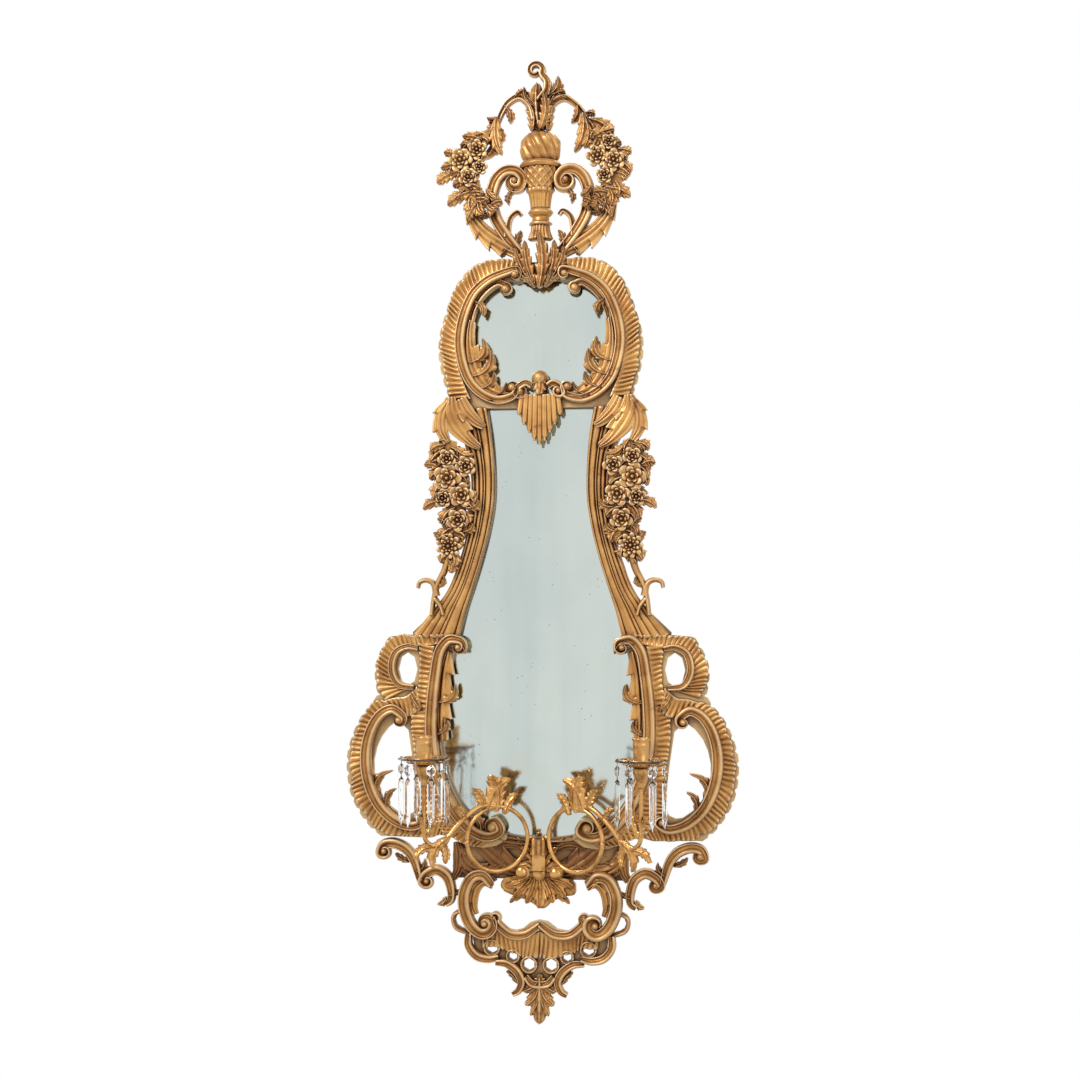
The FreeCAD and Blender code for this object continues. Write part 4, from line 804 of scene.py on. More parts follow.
SWAG = [(144, -80), (150.4, -100.8), (148.8, -131.2), (139.2, -163.2), (134.4, -190.4), (134.4, -219.2),
        (140.8, -243.2), (145.6, -260.8), (147.2, -276.8)]
SWAG_WIDTHS = [35.2, 51.2, 59.2, 60.8, 54.4, 44.8, 43.2, 32, 12.8]
SWAG_FLOWERS = (((148.8, -142.4), 24, 5), ((118.4, -123.2), 17.6, 5), ((124.8, -169.6), 20.8, 5),
                ((148.8, -110.4), 16, 5), ((155.2, -174.4), 16, 5), ((131.2, -209.6), 19.2, 5),
                ((145.6, -251.2), 20.8, 9))
SWAG_LEAVES = (((153.6, -88), (176, -99.2), 22.4), ((134.4, -94.4), (105.6, -105.6), 20.8),
               ((163.2, -123.2), (185.6, -120), 20.8), ((156.8, -179.2), (187.2, -192), 20.8),
               ((118.4, -190.4), (96, -179.2), 20.8), ((147.2, -222.4), (163.2, -206.4), 17.6),
               ((121.6, -228.8), (105.6, -216), 19.2), ((160, -244.8), (169.6, -228.8), 14.4))
TWIGS = (([(147.2, -267.2), (153.6, -289.6), (164.8, -312), (171.2, -337.6), (174.4, -361.6)], 12.8),
         ([(166.4, -331.2), (171.2, -312), (182.4, -305.6), (193.6, -308.8), (196.8, -318.4)], 12),
         ([(169.6, -334.4), (160, -347.2), (155.2, -361.6)], 9.6))

for word, side in SIDES:
    parts = garland(mirrored(SWAG, side), SWAG_WIDTHS, 34, 11, 33.6, 26)
    for base, tip, width in SWAG_LEAVES:
        parts.append(leaf(*mirrored((base, tip), side), width, 35.5, 10, 3, 0.15 * side))
    for i, (centre, radius, count) in enumerate(SWAG_FLOWERS):
        parts += flower(mirrored([centre], side)[0], radius, count, 37, 14, 0.7 * i)
    for points, width in TWIGS:
        line = smooth_line(mirrored(points, side))
        taper = width * np.linspace(1, 0.55, len(line))
        parts.append(sweep(line, taper, 30, np.full(len(line), 10.0), ROUNDED))
    parts.append(leaf(*mirrored(((164.8, -318.4), (153.6, -299.2)), side), 11.2, 33, 7, 3, 0.2 * side))
    piece(word + "_flower_swag_carved", parts, GOLD, stands_for=[word + "_flower_swag"])

# %% [markdown]
# **The rocaille sides** flare out at the foot: a small ear with a round opening, and below it a
# great frilled wing, pierced so that the wall shows through. The ground is the solid's own. The
# flutes, the C-scrolls and the leaf that hooks into the opening lie on it.

# %% Frilled wings and ears
SIDE_SCROLL = [(131.2, -401.6), (147.2, -401.6), (161.6, -420.8), (168, -456), (172.8, -499.2),
               (174.4, -547.2), (169.6, -595.2), (155.2, -638.4), (134.4, -675.2), (108.8, -702.4),
               (83.2, -712), (64, -704), (68.8, -689.6)]
EAR_RING = [(196.8, -414.4), (214.4, -412), (232, -420.8), (239.2, -440), (236.8, -459.2),
            (225.6, -473.6), (203.2, -476.8)]
WING_SCROLL = [(222.4, -521.6), (238.4, -512), (257.6, -521.6), (272, -544), (280, -574.4), (280, -606.4),
               (272, -640), (256, -668.8), (232, -689.6), (204.8, -697.6), (187.2, -689.6)]
WING_RIM = [(252.8, -496), (275.2, -507.2), (289.6, -529.6), (300.8, -556.8), (307.2, -590.4),
            (305.6, -624), (299.2, -654.4), (284.8, -678.4), (265.6, -700.8), (240, -712.8),
            (204.8, -713.6)]
EAR_RIM = [(201.6, -394.4), (236.8, -395.2), (252.8, -412.8), (263.2, -433.6), (265.6, -454.4),
           (260.8, -478.4), (251.2, -496)]
COMB_INNER = [(169.6, -411.2), (176, -451.2), (180.8, -499.2), (182.4, -547.2), (177.6, -598.4),
              (163.2, -643.2), (144, -680), (115.2, -708.8)]
COMB_OUTER = [(196.8, -404.8), (193.6, -448), (198.4, -491.2), (208, -531.2), (201.6, -595.2),
              (198.4, -643.2), (188.8, -683.2), (153.6, -712)]
EAR_BRIDGE_IN = [(198.4, -475.2), (216, -491.2), (236.8, -494.4), (256, -500.8)]
EAR_BRIDGE_OUT = [(188.8, -510.4), (208, -523.2), (225.6, -516.8), (243.2, -508.8)]
FOOT_TOP = [(217.6, -700.8), (179.2, -692.8), (147.2, -689.6), (115.2, -712), (83.2, -721.6)]
FOOT_RIM = [(224, -715.2), (182.4, -715.2), (155.2, -711.2), (126.4, -723.2), (96, -729.6)]
TOP_IN = [(140.8, -398.4), (166.4, -408), (195.2, -411.2), (214.4, -411.2)]
TOP_OUT = [(137.6, -392.8), (166.4, -392.8), (195.2, -393.6), (220.8, -394.4)]

for word, side in SIDES:
    parts = []
    for inner, outer, flutes, depths, scallop in (
            (WING_SCROLL[1:-1], WING_RIM, 34, (8, 5), 5.0), (EAR_RING, EAR_RIM, 17, (7, 5), 4.5),
            (COMB_INNER, COMB_OUTER, 40, (7, 5), 1.5), (EAR_BRIDGE_IN, EAR_BRIDGE_OUT, 8, (5, 6), 0.0),
            (FOOT_TOP, FOOT_RIM, 18, (6, 5), 2.0), (TOP_IN, TOP_OUT, 10, (5, 5), 0.0)):
        parts.append(frill(mirrored(inner, side), mirrored(outer, side), flutes, RUFFLE_BACK, depths, 3.6,
                           scallop))
    piece(word + "_side_frill", parts, GOLD)

    parts = scroll(mirrored(SIDE_SCROLL, side), (12.8, 20.8, 12.8), SCROLL_BACK, 15,
                   (mirrored([(131.2, -412.8)], side)[0], 7.2), (mirrored([(75.2, -697.6)], side)[0], 11.2))
    parts.append(leaf_band(mirrored([(147.2, -419.2), (153.6, -452.8), (156.8, -491.2), (158.4, -531.2),
                                     (156.8, -563.2)], side), [11.2, 17.6, 17.6, 16, 8], SCROLL_BACK - 6,
                           14, 4, -side, 2, 1.2))
    for base, tip, width, lean in (((150.4, -408), (118.4, -422.4), 20.8, -0.3),
                                   ((164.8, -500.8), (134.4, -472), 19.2, 0.25),
                                   ((166.4, -552), (147.2, -529.6), 14.4, 0.2),
                                   ((160, -628.8), (140.8, -648), 14.4, 0.2),
                                   ((96, -712), (105.6, -680), 19.2, 0.2)):
        parts.append(leaf(*mirrored((base, tip), side), width, SCROLL_BACK, 10, 3, lean * side))
    piece(word + "_side_scroll_carved", parts, GOLD, stands_for=[word + "_side_scroll"])

    parts = scroll(mirrored(EAR_RING, side), (8, 12.8, 8), SCROLL_BACK, 11)
    parts += scroll(mirrored(WING_SCROLL, side), (11.2, 19.2, 11.2), SCROLL_BACK, 15,
                    (mirrored([(227.2, -529.6)], side)[0], 8), (mirrored([(193.6, -686.4)], side)[0], 8))
    for base, tip, width, lean in (((260.8, -660.8), (236.8, -609.6), 17.6, -0.3),
                                   ((248, -673.6), (232, -638.4), 14.4, -0.2),
                                   ((208, -486.4), (190.4, -510.4), 17.6, 0.1)):
        parts.append(leaf(*mirrored((base, tip), side), width, SCROLL_BACK - 3, 12, 3, lean * side))
    piece(word + "_c_scrolls_carved", parts, GOLD, stands_for=[word + "_c_scrolls"])

# %% [markdown]
# ** The foot rail** joins the two wings under the tall plate. It is the darkest carving of all:
# leaves in low relief, in the darker gilding that paints the shade they lie in.

# %% Leaves on the foot rail
RAIL_LEAVES = (([(16, -766.4), (41.6, -763.2), (68.8, -747.2), (92.8, -728), (115.2, -723.2)],
                [12.8, 27.2, 32, 25.6, 8], 4, 1), ([(128, -734.4), (121.6, -756.8), (99.2, -769.6),
                                                    (73.6, -768), (54.4, -756.8)],
                                                   [14.4, 24, 24, 19.2, 8], 3, -1),
               ([(22.4, -734.4), (38.4, -724.8), (57.6, -724.8), (73.6, -734.4)], [9.6, 16, 16, 6.4], 3,
                1), ([(134.4, -723.2), (131.2, -744), (132.8, -766.4), (140.8, -780.8)],
                     [11.2, 19.2, 17.6, 8], 3, -1))
parts = []
for hand in (1, -1):
    for points, widths, lobes, edge in RAIL_LEAVES:
        parts.append(leaf_band(mirrored(points, hand), widths, 19.5, 11, lobes, edge * hand, 3, 0.45))
    edge_line = mirrored([(12.8, -723.2), (48, -720), (73.6, -712)], hand)
    parts += scroll(edge_line, (8, 9.6, 8), 19.5, 11)
piece("foot_rail_leaves", parts, DARK_GOLD)

# %% [markdown]
# **Foot and apron.** Two small scrolls carry each wing to the apron. Between two bold C-scrolls
# hangs a festoon of mouldings, and below it a comb of ribs ends in a row of round holes with a
# scrolled border. A five-lobed leaf hangs from the middle.

# %% Foot scrolls and apron scrolls
FOOT_SCROLLS = (([(259.2, -742.4), (252.8, -729.6), (235.2, -727.2), (216, -736), (203.2, -753.6),
                  (193.6, -785.6)], (252, -739.2), 7.2),
                ([(190.4, -785.6), (182.4, -774.4), (166.4, -768), (150.4, -777.6), (143.2, -796.8),
                  (143.2, -814.4), (152, -822.4)], (182.4, -785.6), 6.4))
APRON_SCROLL = [(76.8, -788.8), (91.2, -774.4), (108.8, -779.2), (120, -801.6), (120, -827.2),
                (110.4, -851.2), (96, -864)]

for word, side in SIDES:
    parts = []
    for points, eye, radius in FOOT_SCROLLS:
        parts += scroll(mirrored(points, side), (11.2, 17.6, 9.6), 20, 14,
                        (mirrored([eye], side)[0], radius))
    for base, tip, width, lean in (((211.2, -756.8), (233.6, -742.4), 12.8, -0.1),
                                   ((201.6, -772.8), (185.6, -750.4), 12.8, 0.2),
                                   ((147.2, -808), (128, -798.4), 11.2, 0.1),
                                   ((150.4, -811.2), (164.8, -822.4), 12.8, -0.2)):
        parts.append(leaf(*mirrored((base, tip), side), width, 20, 11, 3, lean * side))
    piece(word + "_foot_scrolls_carved", parts, GOLD, stands_for=[word + "_foot_scrolls"])

    parts = scroll(mirrored(APRON_SCROLL, side), (14.4, 20.8, 14.4), 28, 15, None,
                   (mirrored([(88, -849.6)], side)[0], 8))
    parts.append(leaf_band(mirrored([(75.2, -792), (89.6, -785.6), (102.4, -798.4), (105.6, -820.8),
                                     (100.8, -835.2)], side), [8, 12.8, 14.4, 12.8, 6.4], 28, 11, 4, side,
                           2, 0.8))
    piece(word + "_apron_scroll_carved", parts, GOLD, stands_for=[word + "_apron_scroll"])

# %% The shell of the apron
FESTOON = [(68.8, -844.8), (64, -852.8), (46.4, -865.6), (24, -865.6), (8, -856), (0, -849.6)]
COMB_TOP = [(96, -859.2), (70.4, -859.2), (46.4, -870.4), (22.4, -868.8), (0, -859.2)]
COMB_FOOT = [(92.8, -888), (70.4, -886.4), (48, -894.4), (22.4, -902.4), (0, -902.4)]
BORDERS = (([(113.6, -865.6), (113.6, -884.8), (100.8, -900.8), (81.6, -905.6), (65.6, -902.4)],
            (11.2, 14.4, 9.6)), ([(70.4, -910.4), (52.8, -912), (36.8, -923.2), (28.8, -939.2),
                                  (33.6, -953.6), (43.2, -960)], (9.6, 14.4, 8)))
SHELL_HOLES = (((76.8, -888), 9.6), ((43.2, -900.8), 7.2), ((17.6, -913.6), 9.6))

parts = []
for hand in (1, -1):
    parts += scroll(mirrored(FESTOON, hand), (11.2, 14.4, 9.6), 28, 12,
                    (mirrored([(72, -840)], hand)[0], 4))
    parts.append(frill(mirrored(COMB_TOP, hand), mirrored(COMB_FOOT, hand), 13, 27.5, (5, 6), 3.4, 3.0,
                       1.0))
    for points, widths in BORDERS:
        parts += scroll(mirrored(points, hand), widths, 27.5, 12)
    for centre, radius in SHELL_HOLES:
        a = np.linspace(0, 2 * np.pi, 25)
        ring = np.column_stack([centre[0] * hand + (radius + 2.6) * np.cos(a),
                                centre[1] + (radius + 2.6) * np.sin(a)])
        parts.append(sweep(ring, np.full(25, 5.1), 27, np.full(25, 7.0), ROUNDED))
    loop = smooth_line(mirrored([(124.8, -830.4), (139.2, -840), (134.4, -859.2), (105.6, -868.8)], hand))
    parts.append(sweep(loop, np.full(len(loop), 7.2), 25, np.full(len(loop), 9.0), ROUNDED))
    parts.append(leaf(*mirrored(((35.2, -942.4), (52.8, -923.2)), hand), 12.8, 28, 9, 3, 0.1 * hand))
parts += scroll([(22.4, -931.2), (11.2, -942.4), (-11.2, -942.4), (-22.4, -931.2)], (9.6, 12.8, 9.6), 28,
                12)
parts.append(leaf((0, -955.2), (0, -926.4), 19.2, 29, 8, 3))
piece("apron_shell_carved", parts, GOLD)

parts = [leaf((0, -932.8), (0, -1004), 40, 28, 13, 4)]
for hand in (1, -1):
    for base, tip, width, lean in (((1.6, -942.4), (22.4, -976), 25.6, -0.15),
                                   ((3.2, -939.2), (27.2, -953.6), 20.8, -0.1),
                                   ((1.6, -948.8), (14.4, -992), 19.2, -0.1)):
        parts.append(leaf(*mirrored((base, tip), hand), width, 28, 10, 3, lean * hand))
piece("apron_pendant_carved", parts, GOLD, stands_for=["apron_pendant"])

# %% [markdown]
# **The crest.** A turned and halved urn stands in front of the frame's top. Its lid is gadrooned
# like a melon, its body has a lattice band and its foot is fluted. The same turning tool makes
# all of it, with a relief that goes round the axis.

# %% The urn
URN_AXIS = (0, 20)


def lattice(a, z):
    """Fine ridges that cross like a trellis."""
    ridges = np.maximum(np.abs(np.cos(7 * a + z / 4.6)), np.abs(np.cos(7 * a - z / 4.6)))
    return 0.07 * (ridges ** 10 - 0.4)


def swirl(a, z):
    """Gadroons that wind round a ball."""
    return 0.14 * (np.abs(np.sin(5.5 * a + z / 11)) - 0.55)


def urn_part(points, relief=None):
    profile = resample(np.array(points, float), 26)
    return turned(profile, URN_AXIS, 72, relief, math.pi)


parts = [urn_part([(9.6, 420.8), (22.4, 415.2), (30.4, 404.8), (32.8, 392), (29.6, 377.6), (24.8, 369.6)],
                  swirl), urn_part([(24, 371.2), (31.2, 369.6), (34.4, 364.8), (32.8, 360),
                                    (25.6, 358.4)]),
         urn_part([(28.8, 360), (28.2, 352), (24.6, 337.6), (20.8, 324.8)], lattice),
         urn_part([(19.2, 328), (23, 325.6), (23, 321.6), (19.2, 317.6), (17, 305.6), (16, 294.4)],
                  gadroons(14, 0.12)), urn_part([(12.8, 296), (17.6, 292.8), (20.8, 288), (17.6, 283.2),
                                                 (13.6, 280), (14.4, 273.6), (19.2, 270.4),
                                                 (18.4, 267.2)]),
         urn_part([(14.4, 268.8), (15.4, 257.6), (20, 244.8), (16, 241.6)], gadroons(18, 0.18))]
for base, tip, width, rise in (((0, 163.2), (0, 251.2), 27.2, 15), ((9.6, 168), (24, 240), 22.4, 10),
                               ((12.8, 169.6), (40, 228.8), 20.8, 8), ((14.4, 172.8), (43.2, 203.2), 16, 8),
                               ((8, 164.8), (20.8, 193.6), 14.4, 12)):
    for hand in (1, -1) if base[0] else (1,):
        ends = [(x * hand, z) for x, z in (base, tip)]
        parts.append(leaf(*ends, width, 30, rise, 5, -0.06 * hand))
piece("crest_urn_carved", parts, GOLD, stands_for=["crest_urn"])

# %% [markdown]
# Over the urn rises a plume of leaves with a curled finial, and a leafy branch bends down from
# it to each side. No two leaves of it are the same, as in all good carving of this kind.

# %% The plume
FINIAL_EYE = (-8, 519.5)
PLUME_LEAVES = (((0, 419.2), (-4.8, 497.6), 41.6, 20, 0.05), ((1.6, 420.8), (6.4, 481.6), 22.4, 29, -0.1),
                ((11.2, 420.8), (24, 475.2), 25.6, 20, 0.12),
                ((-11.2, 420.8), (-22.4, 472), 25.6, 20, -0.12),
                ((8, 475.2), (30.4, 507.2), 24, 20, -0.2), ((8, 459.2), (41.6, 481.6), 19.2, 21, 0.2),
                ((-8, 459.2), (-25.6, 491.2), 17.6, 21, 0.2))
PLUME_BRANCHES = (([(8, 440), (19.2, 464), (38.4, 473.6), (56, 464), (68.8, 449.6), (78.4, 430.4)],
                   (((44.8, 472), (27.2, 484.8), 14.4), ((60.8, 459.2), (51.2, 430.4), 16),
                    ((73.6, 446.4), (89.6, 443.2), 14.4), ((78.4, 436.8), (118.4, 404.8), 25.6),
                    ((76.8, 436.8), (88, 401.6), 22.4))),
                  ([(-8, 440), (-16, 464), (-33.6, 476.8), (-51.2, 468.8), (-62.4, 452.8),
                    (-70.4, 433.6)], (((-41.6, 475.2), (-22.4, 486.4), 14.4),
                                      ((-57.6, 462.4), (-48, 433.6), 16),
                                      ((-67.2, 443.2), (-86.4, 443.2), 14.4),
                                      ((-70.4, 436.8), (-112, 401.6), 27.2),
                                      ((-72, 433.6), (-89.6, 376), 25.6),
                                      ((-70.4, 433.6), (-67.2, 398.4), 17.6))))

parts = []
for base, tip, width, back, lean in PLUME_LEAVES:
    parts.append(leaf(base, tip, width, back, 14, 5, lean))
curl = wound([(-1.6, 468.8), (9.6, 484.8), (11.2, 500.8), (3.2, 512.8)], FINIAL_EYE, 1.0, 0.42)
line = smooth_line(curl)
share = np.linspace(0, 1, len(line))
parts.append(sweep(line, 16 - 8.8 * share, 20, 15 - 3 * share, MOULDED))
for points, leaves in PLUME_BRANCHES:
    line = smooth_line(points)
    share = np.linspace(0, 1, len(line))
    parts.append(sweep(line, 14.4 - 6.4 * share, 20, 14 - 3 * share, MOULDED))
    for base, tip, width in leaves:
        parts.append(leaf(base, tip, width, 23, 11, 4, 0.15))
piece("crest_plume_carved", parts, GOLD, stands_for=["crest_plume"])

# %% [markdown]
# Two C-scrolls, back to back, hold the urn like the arms of a lyre. Bands of leaves follow them
# outside and carry the sprays of roses.

# %% Lyre scrolls and sprays
CREST_SCROLL = [(32, 331.2), (29.6, 344), (40, 355.2), (57.6, 355.2), (72, 340.8), (79.2, 313.6),
                (73.6, 283.2), (57.6, 254.4), (38.4, 228.8), (24, 209.6), (20.8, 190.4)]
CREST_SPRIG = [(54.4, 248), (52.8, 267.2), (48, 281.6), (36.8, 289.6), (30.4, 283.2)]
CREST_LEAF_BAND = [(118.4, 300.8), (107.2, 276.8), (89.6, 256), (67.2, 240), (35.2, 220.8)]
SPRAY = [(88, 417.6), (100.8, 395.2), (116.8, 372.8), (123.2, 350.4), (116.8, 324.8), (99.2, 304),
         (73.6, 297.6)]
SPRAY_WIDTHS = [22.4, 41.6, 48, 44.8, 38.4, 24, 12.8]
SPRAY_FLOWERS = {1: (((94.4, 372.8), 19.2, 6), ((120, 364.8), 19.2, 6), ((112, 395.2), 12.8, 5),
                     ((105.6, 340.8), 14.4, 5)), -1: (((128, 372.8), 20.8, 6), ((100.8, 388.8), 17.6, 6),
                                                      ((115.2, 344), 16, 5), ((96, 360), 12.8, 5))}
SPRAY_LEAVES = {1: (((70.4, 443.2), (57.6, 379.2), 22.4), ((76.8, 427.2), (73.6, 385.6), 19.2),
                    ((128, 353.6), (145.6, 339.2), 22.4), ((108.8, 321.6), (147.2, 305.6), 25.6),
                    ((96, 304), (115.2, 278.4), 19.2), ((128, 382.4), (148.8, 376), 17.6),
                    ((89.6, 404.8), (121.6, 414.4), 19.2), ((83.2, 324.8), (67.2, 308.8), 16)),
                -1: (((70.4, 440), (60.8, 379.2), 22.4), ((137.6, 353.6), (166.4, 336), 24),
                     ((128, 366.4), (160, 360), 19.2), ((112, 321.6), (148.8, 299.2), 25.6),
                     ((99.2, 304), (115.2, 275.2), 19.2), ((134.4, 382.4), (155.2, 385.6), 17.6),
                     ((92.8, 404.8), (124.8, 411.2), 19.2), ((86.4, 324.8), (67.2, 305.6), 16))}

for word, side in SIDES:
    eye = mirrored([(41.6, 339.2)], side)[0]
    parts = scroll(mirrored(CREST_SCROLL, side), (12.8, 20.8, 12.8), 19.5, 17, (eye, 7.2))
    line = smooth_line(mirrored(CREST_SPRIG, side))
    parts.append(sweep(line, np.linspace(12.8, 6.4, len(line)), 19.5, np.full(len(line), 12.0), MOULDED))
    parts.append(leaf_band(mirrored(CREST_LEAF_BAND, side), [12.8, 22.4, 27.2, 25.6, 9.6], 20, 14, 5,
                           side, 3, 0.6))
    for base, tip, width, lean in (((43.2, 326.4), (51.2, 300.8), 12.8, 0.2),
                                   ((80, 286.4), (102.4, 289.6), 16, -0.1),
                                   ((48, 232), (64, 216), 12.8, 0.1),
                                   ((38.4, 228.8), (30.4, 257.6), 16, -0.1)):
        parts.append(leaf(*mirrored((base, tip), side), width, 21, 12, 4, lean * side))
    piece(word + "_crest_scroll_carved", parts, GOLD, stands_for=[word + "_crest_scroll"])

    parts = garland(mirrored(SPRAY, side), SPRAY_WIDTHS, 35, 10, 28.8, 22)
    for base, tip, width in SPRAY_LEAVES[side]:
        parts.append(leaf(*mirrored((base, tip), side), width, 35, 9, 4, 0.1 * side))
    for i, (centre, radius, count) in enumerate(SPRAY_FLOWERS[side]):
        parts += flower(mirrored([centre], side)[0], radius, count, 38, 13, 0.5 * i)
    piece(word + "_crest_spray_carved", parts, GOLD, stands_for=[word + "_crest_spray"])

# %% [markdown]
# **The bracket** is a cast shell screwed over the foot of the frame. Ribs fan out over it from
# under the neck that holds the two pivots.

# %% Shell and roundels on the bracket
BRACKET_SHELL = [(19.2, -750.4), (35.2, -758.4), (36.8, -776), (54.4, -782.4), (57.6, -798.4),
                 (38.4, -806.4), (19.2, -811.2), (0, -824)]
shell_edge = BRACKET_SHELL + mirrored(BRACKET_SHELL, -1)[-2::-1]
heart = [((0, -766.4)[0] + 6.4 * math.cos(a), (0, -766.4)[1] + 4 * math.sin(a))
         for a in np.linspace(1.2, -1.2 - math.pi, 9)]
parts = [frill(heart, shell_edge, 15, 34.5, (4, 2.5), 1.8, 0.0, 0.6)]
for x, v, width in ((0, 907.5, 25.6), (-13, 903, 20.8), (14, 902, 20.8), (-25, 896, 20.8), (26, 896, 20.8),
                    (-34, 887, 17.6), (35, 887, 17.6)):
    tip = (x * 1.6, (393 - v) * 1.6)
    parts.append(leaf((0.3 * tip[0], (0, -776)[1]), tip, width, 35, 9, 3, 0.04))
for centre, radius in (((-28.8, -768), 9), ((0, -769.6), 10.9), ((25.6, -769.6), 9.6)):
    parts.append(dome(centre, radius, 39.5, 5))
for hand in (1, -1):
    parts.append(leaf(*mirrored(((8, -756.8), (30.4, -728)), hand), 16, 34.5, 8, 4, 0.15 * hand))
    parts.append(leaf(*mirrored(((16, -801.6), (48, -816)), hand), 14.4, 30, 6, 3, 0.1 * hand))
piece("bracket_shell_carved", parts, BRASS)

# %% [markdown]
# **The branches** are cast in brass: a closed ring, a rod that winds away from it to the cup, and
# leaves laid on both faces. Each branch turns about its own pin, so it is worked flat, in its own
# upright plane, and laid there by one function. It rides on its own body.

# %% The branches' plane
HINGE_HALF, HINGE_DEPTH, BRANCH_LEVEL, BRANCH_TURN = 8, 50, (0, -710.4)[1], math.radians(28)
REACH, CUP_TOP, RING_RADIUS, RING_CENTRE = 180, 120, 50, 60


def on_branch(side):
    """Lays (along, forward, up) on a branch, from its pin."""
    c, s = math.cos(BRANCH_TURN), math.sin(BRANCH_TURN)

    def lay(p):
        x = side * (HINGE_HALF + p[:, 0] * c - p[:, 1] * s)
        y = -HINGE_DEPTH - p[:, 0] * s - p[:, 1] * c
        return np.column_stack([x, y, BRANCH_LEVEL + p[:, 2]]) * MM

    return lay


# %% Branches, nozzles and pans
BRANCH = [(56, 50), (86, 52), (110, 38), (128, 22), (144, 4), (162, -6), (176, 2), (180, 18), (180, 40),
          (180, 66), (180, 94)]
BRANCH_LEAVES = (((62, 42), (72, 100), 34, 0.1), ((78, 44), (40, 94), 30, -0.15),
                 ((66, 46), (56, 92), 20, 0.0), ((84, 48), (100, 80), 18, 0.1),
                 ((50, 38), (28, 70), 18, -0.1), ((140, 8), (166, -40), 22, 0.2),
                 ((158, -8), (196, -24), 17, 0.2), ((150, 0), (146, -34), 15, -0.1),
                 ((179, 8), (164, 66), 14, 0.12), ((112, 36), (134, 52), 12, 0.15),
                 ((181, 14), (190, 44), 9, 0.1))
CUP = [(3.5, 86), (5.5, 89), (4.6, 92), (7.5, 97), (9.5, 103), (12.6, 110), (13.4, 114), (11.8, 117),
       (11.2, 120)]
NOZZLE = [(3.9, 119), (3.9, 123.1), (12.6, 123.2), (13.6, 124.6), (12.9, 126.6), (11.7, 129.5),
          (12.0, 140), (12.2, 151), (12.9, 152.3), (12.3, 153.8), (12.5, 157.5), (13.9, 160.2),
          (13.9, 162.2), (13.0, 163), (11.3, 163), (11.0, 160), (11.0, 128.2), (0.3, 128)]
PIN_RADIUS, PIN_FOOT, PIN_HEAD = 3, -24, 3

for word, side in SIDES:
    lay = on_branch(side)
    body = word + "_branch"
    a = np.linspace(0, 2 * np.pi, 97)
    ring = np.column_stack([RING_CENTRE + RING_RADIUS * np.cos(a), RING_RADIUS * np.sin(a)])
    line = smooth_line(BRANCH)
    share = np.linspace(0, 1, len(line))
    parts = [rod(ring, np.full(97, 3.5)), rod(line, 4.2 - 1.0 * share)]
    for base, tip, width, lean in BRANCH_LEAVES:
        parts += [leaf(base, tip, width, 0, 5, 5, lean), leaf(base, tip, width, 0, -5, 5, lean)]
    parts.append(turned(CUP, (REACH, 0), 40))
    lug = np.array([(0.0, 0.0), (5.0, 0.0), (11.0, 0.0)])
    parts.append(rod(lug, np.full(3, float(PIN_RADIUS))))
    parts.append(turned([(PIN_RADIUS, PIN_FOOT), (PIN_RADIUS, PIN_HEAD)], (0, 0), 20))
    piece(word + "_arm_cast", parts, BRASS, body, [word + "_arm"], where=lay)
    piece(word + "_nozzle_turned", [turned(NOZZLE, (REACH, 0), 40)], BRASS, body, [word + "_nozzle"],
          where=lay)
    calyx = [(12.8, 119.0), (16, 119.5), (22, 120.8), (27.5, 122.6), (27.0, 123.6)]
    piece(word + "_pan_edge", [turned(calyx, (REACH, 0), 72, gadroons(12, 0.08))], BRASS, body, where=lay)
    bead_ring = np.column_stack([31.5 * np.cos(a), 31.5 * np.sin(a)])
    places, faces = rod(bead_ring, np.full(97, 1.2))
    turned_flat = np.column_stack([places[:, 0] + REACH, places[:, 2], places[:, 1] + 129.6])
    piece(word + "_pan_rim", [(turned_flat, faces)], BRASS, body, where=lay)

# %% [markdown]
# **Drops.** Six drops of cut glass hang round each pan, each an octagonal bead and a long spear on
# a wire. Cut glass gets its life from flat facets with sharp edges between them, so each stone is
# made of a few flat faces: an outline at its girdle and a smaller table in front and behind.

# %% The cut-glass drops
DROP_COUNT, HOLE_CIRCLE, HOLE_LEVEL = 6, 36, CUP_TOP + 7 + 1.5
BEAD = [(3.0, -24.5), (7.5, -19.4), (7.5, -12.6), (3.0, -7.5), (-3.0, -7.5), (-7.5, -12.6), (-7.5, -19.4),
        (-3.0, -24.5)]
SPEAR = [(2.0, -27.5), (6.2, -34.6), (5.2, -91.0), (0.0, -103.5), (-5.2, -91.0), (-6.2, -34.6),
         (-2.0, -27.5)]


def stone(outline, half_thick, table, low_table=None):
    """A cut stone: a girdle outline with a flat table in front and behind, as places and faces."""
    girdle = np.array(outline, float)
    middle = girdle.mean(axis=0)
    shrink = np.array([table, low_table or table])
    face = middle + (girdle - middle) * shrink
    n = len(girdle)
    places = np.vstack([np.column_stack([girdle[:, 0], np.zeros(n), girdle[:, 1]]),
                        np.column_stack([face[:, 0], np.full(n, half_thick), face[:, 1]]),
                        np.column_stack([face[:, 0], np.full(n, -half_thick), face[:, 1]])])
    faces = [list(range(n, 2 * n)), list(range(3 * n - 1, 2 * n - 1, -1))]
    for i in range(n):
        k = (i + 1) % n
        faces += [[i, k, n + k, n + i], [k, i, 2 * n + i, 2 * n + k]]
    return places, faces


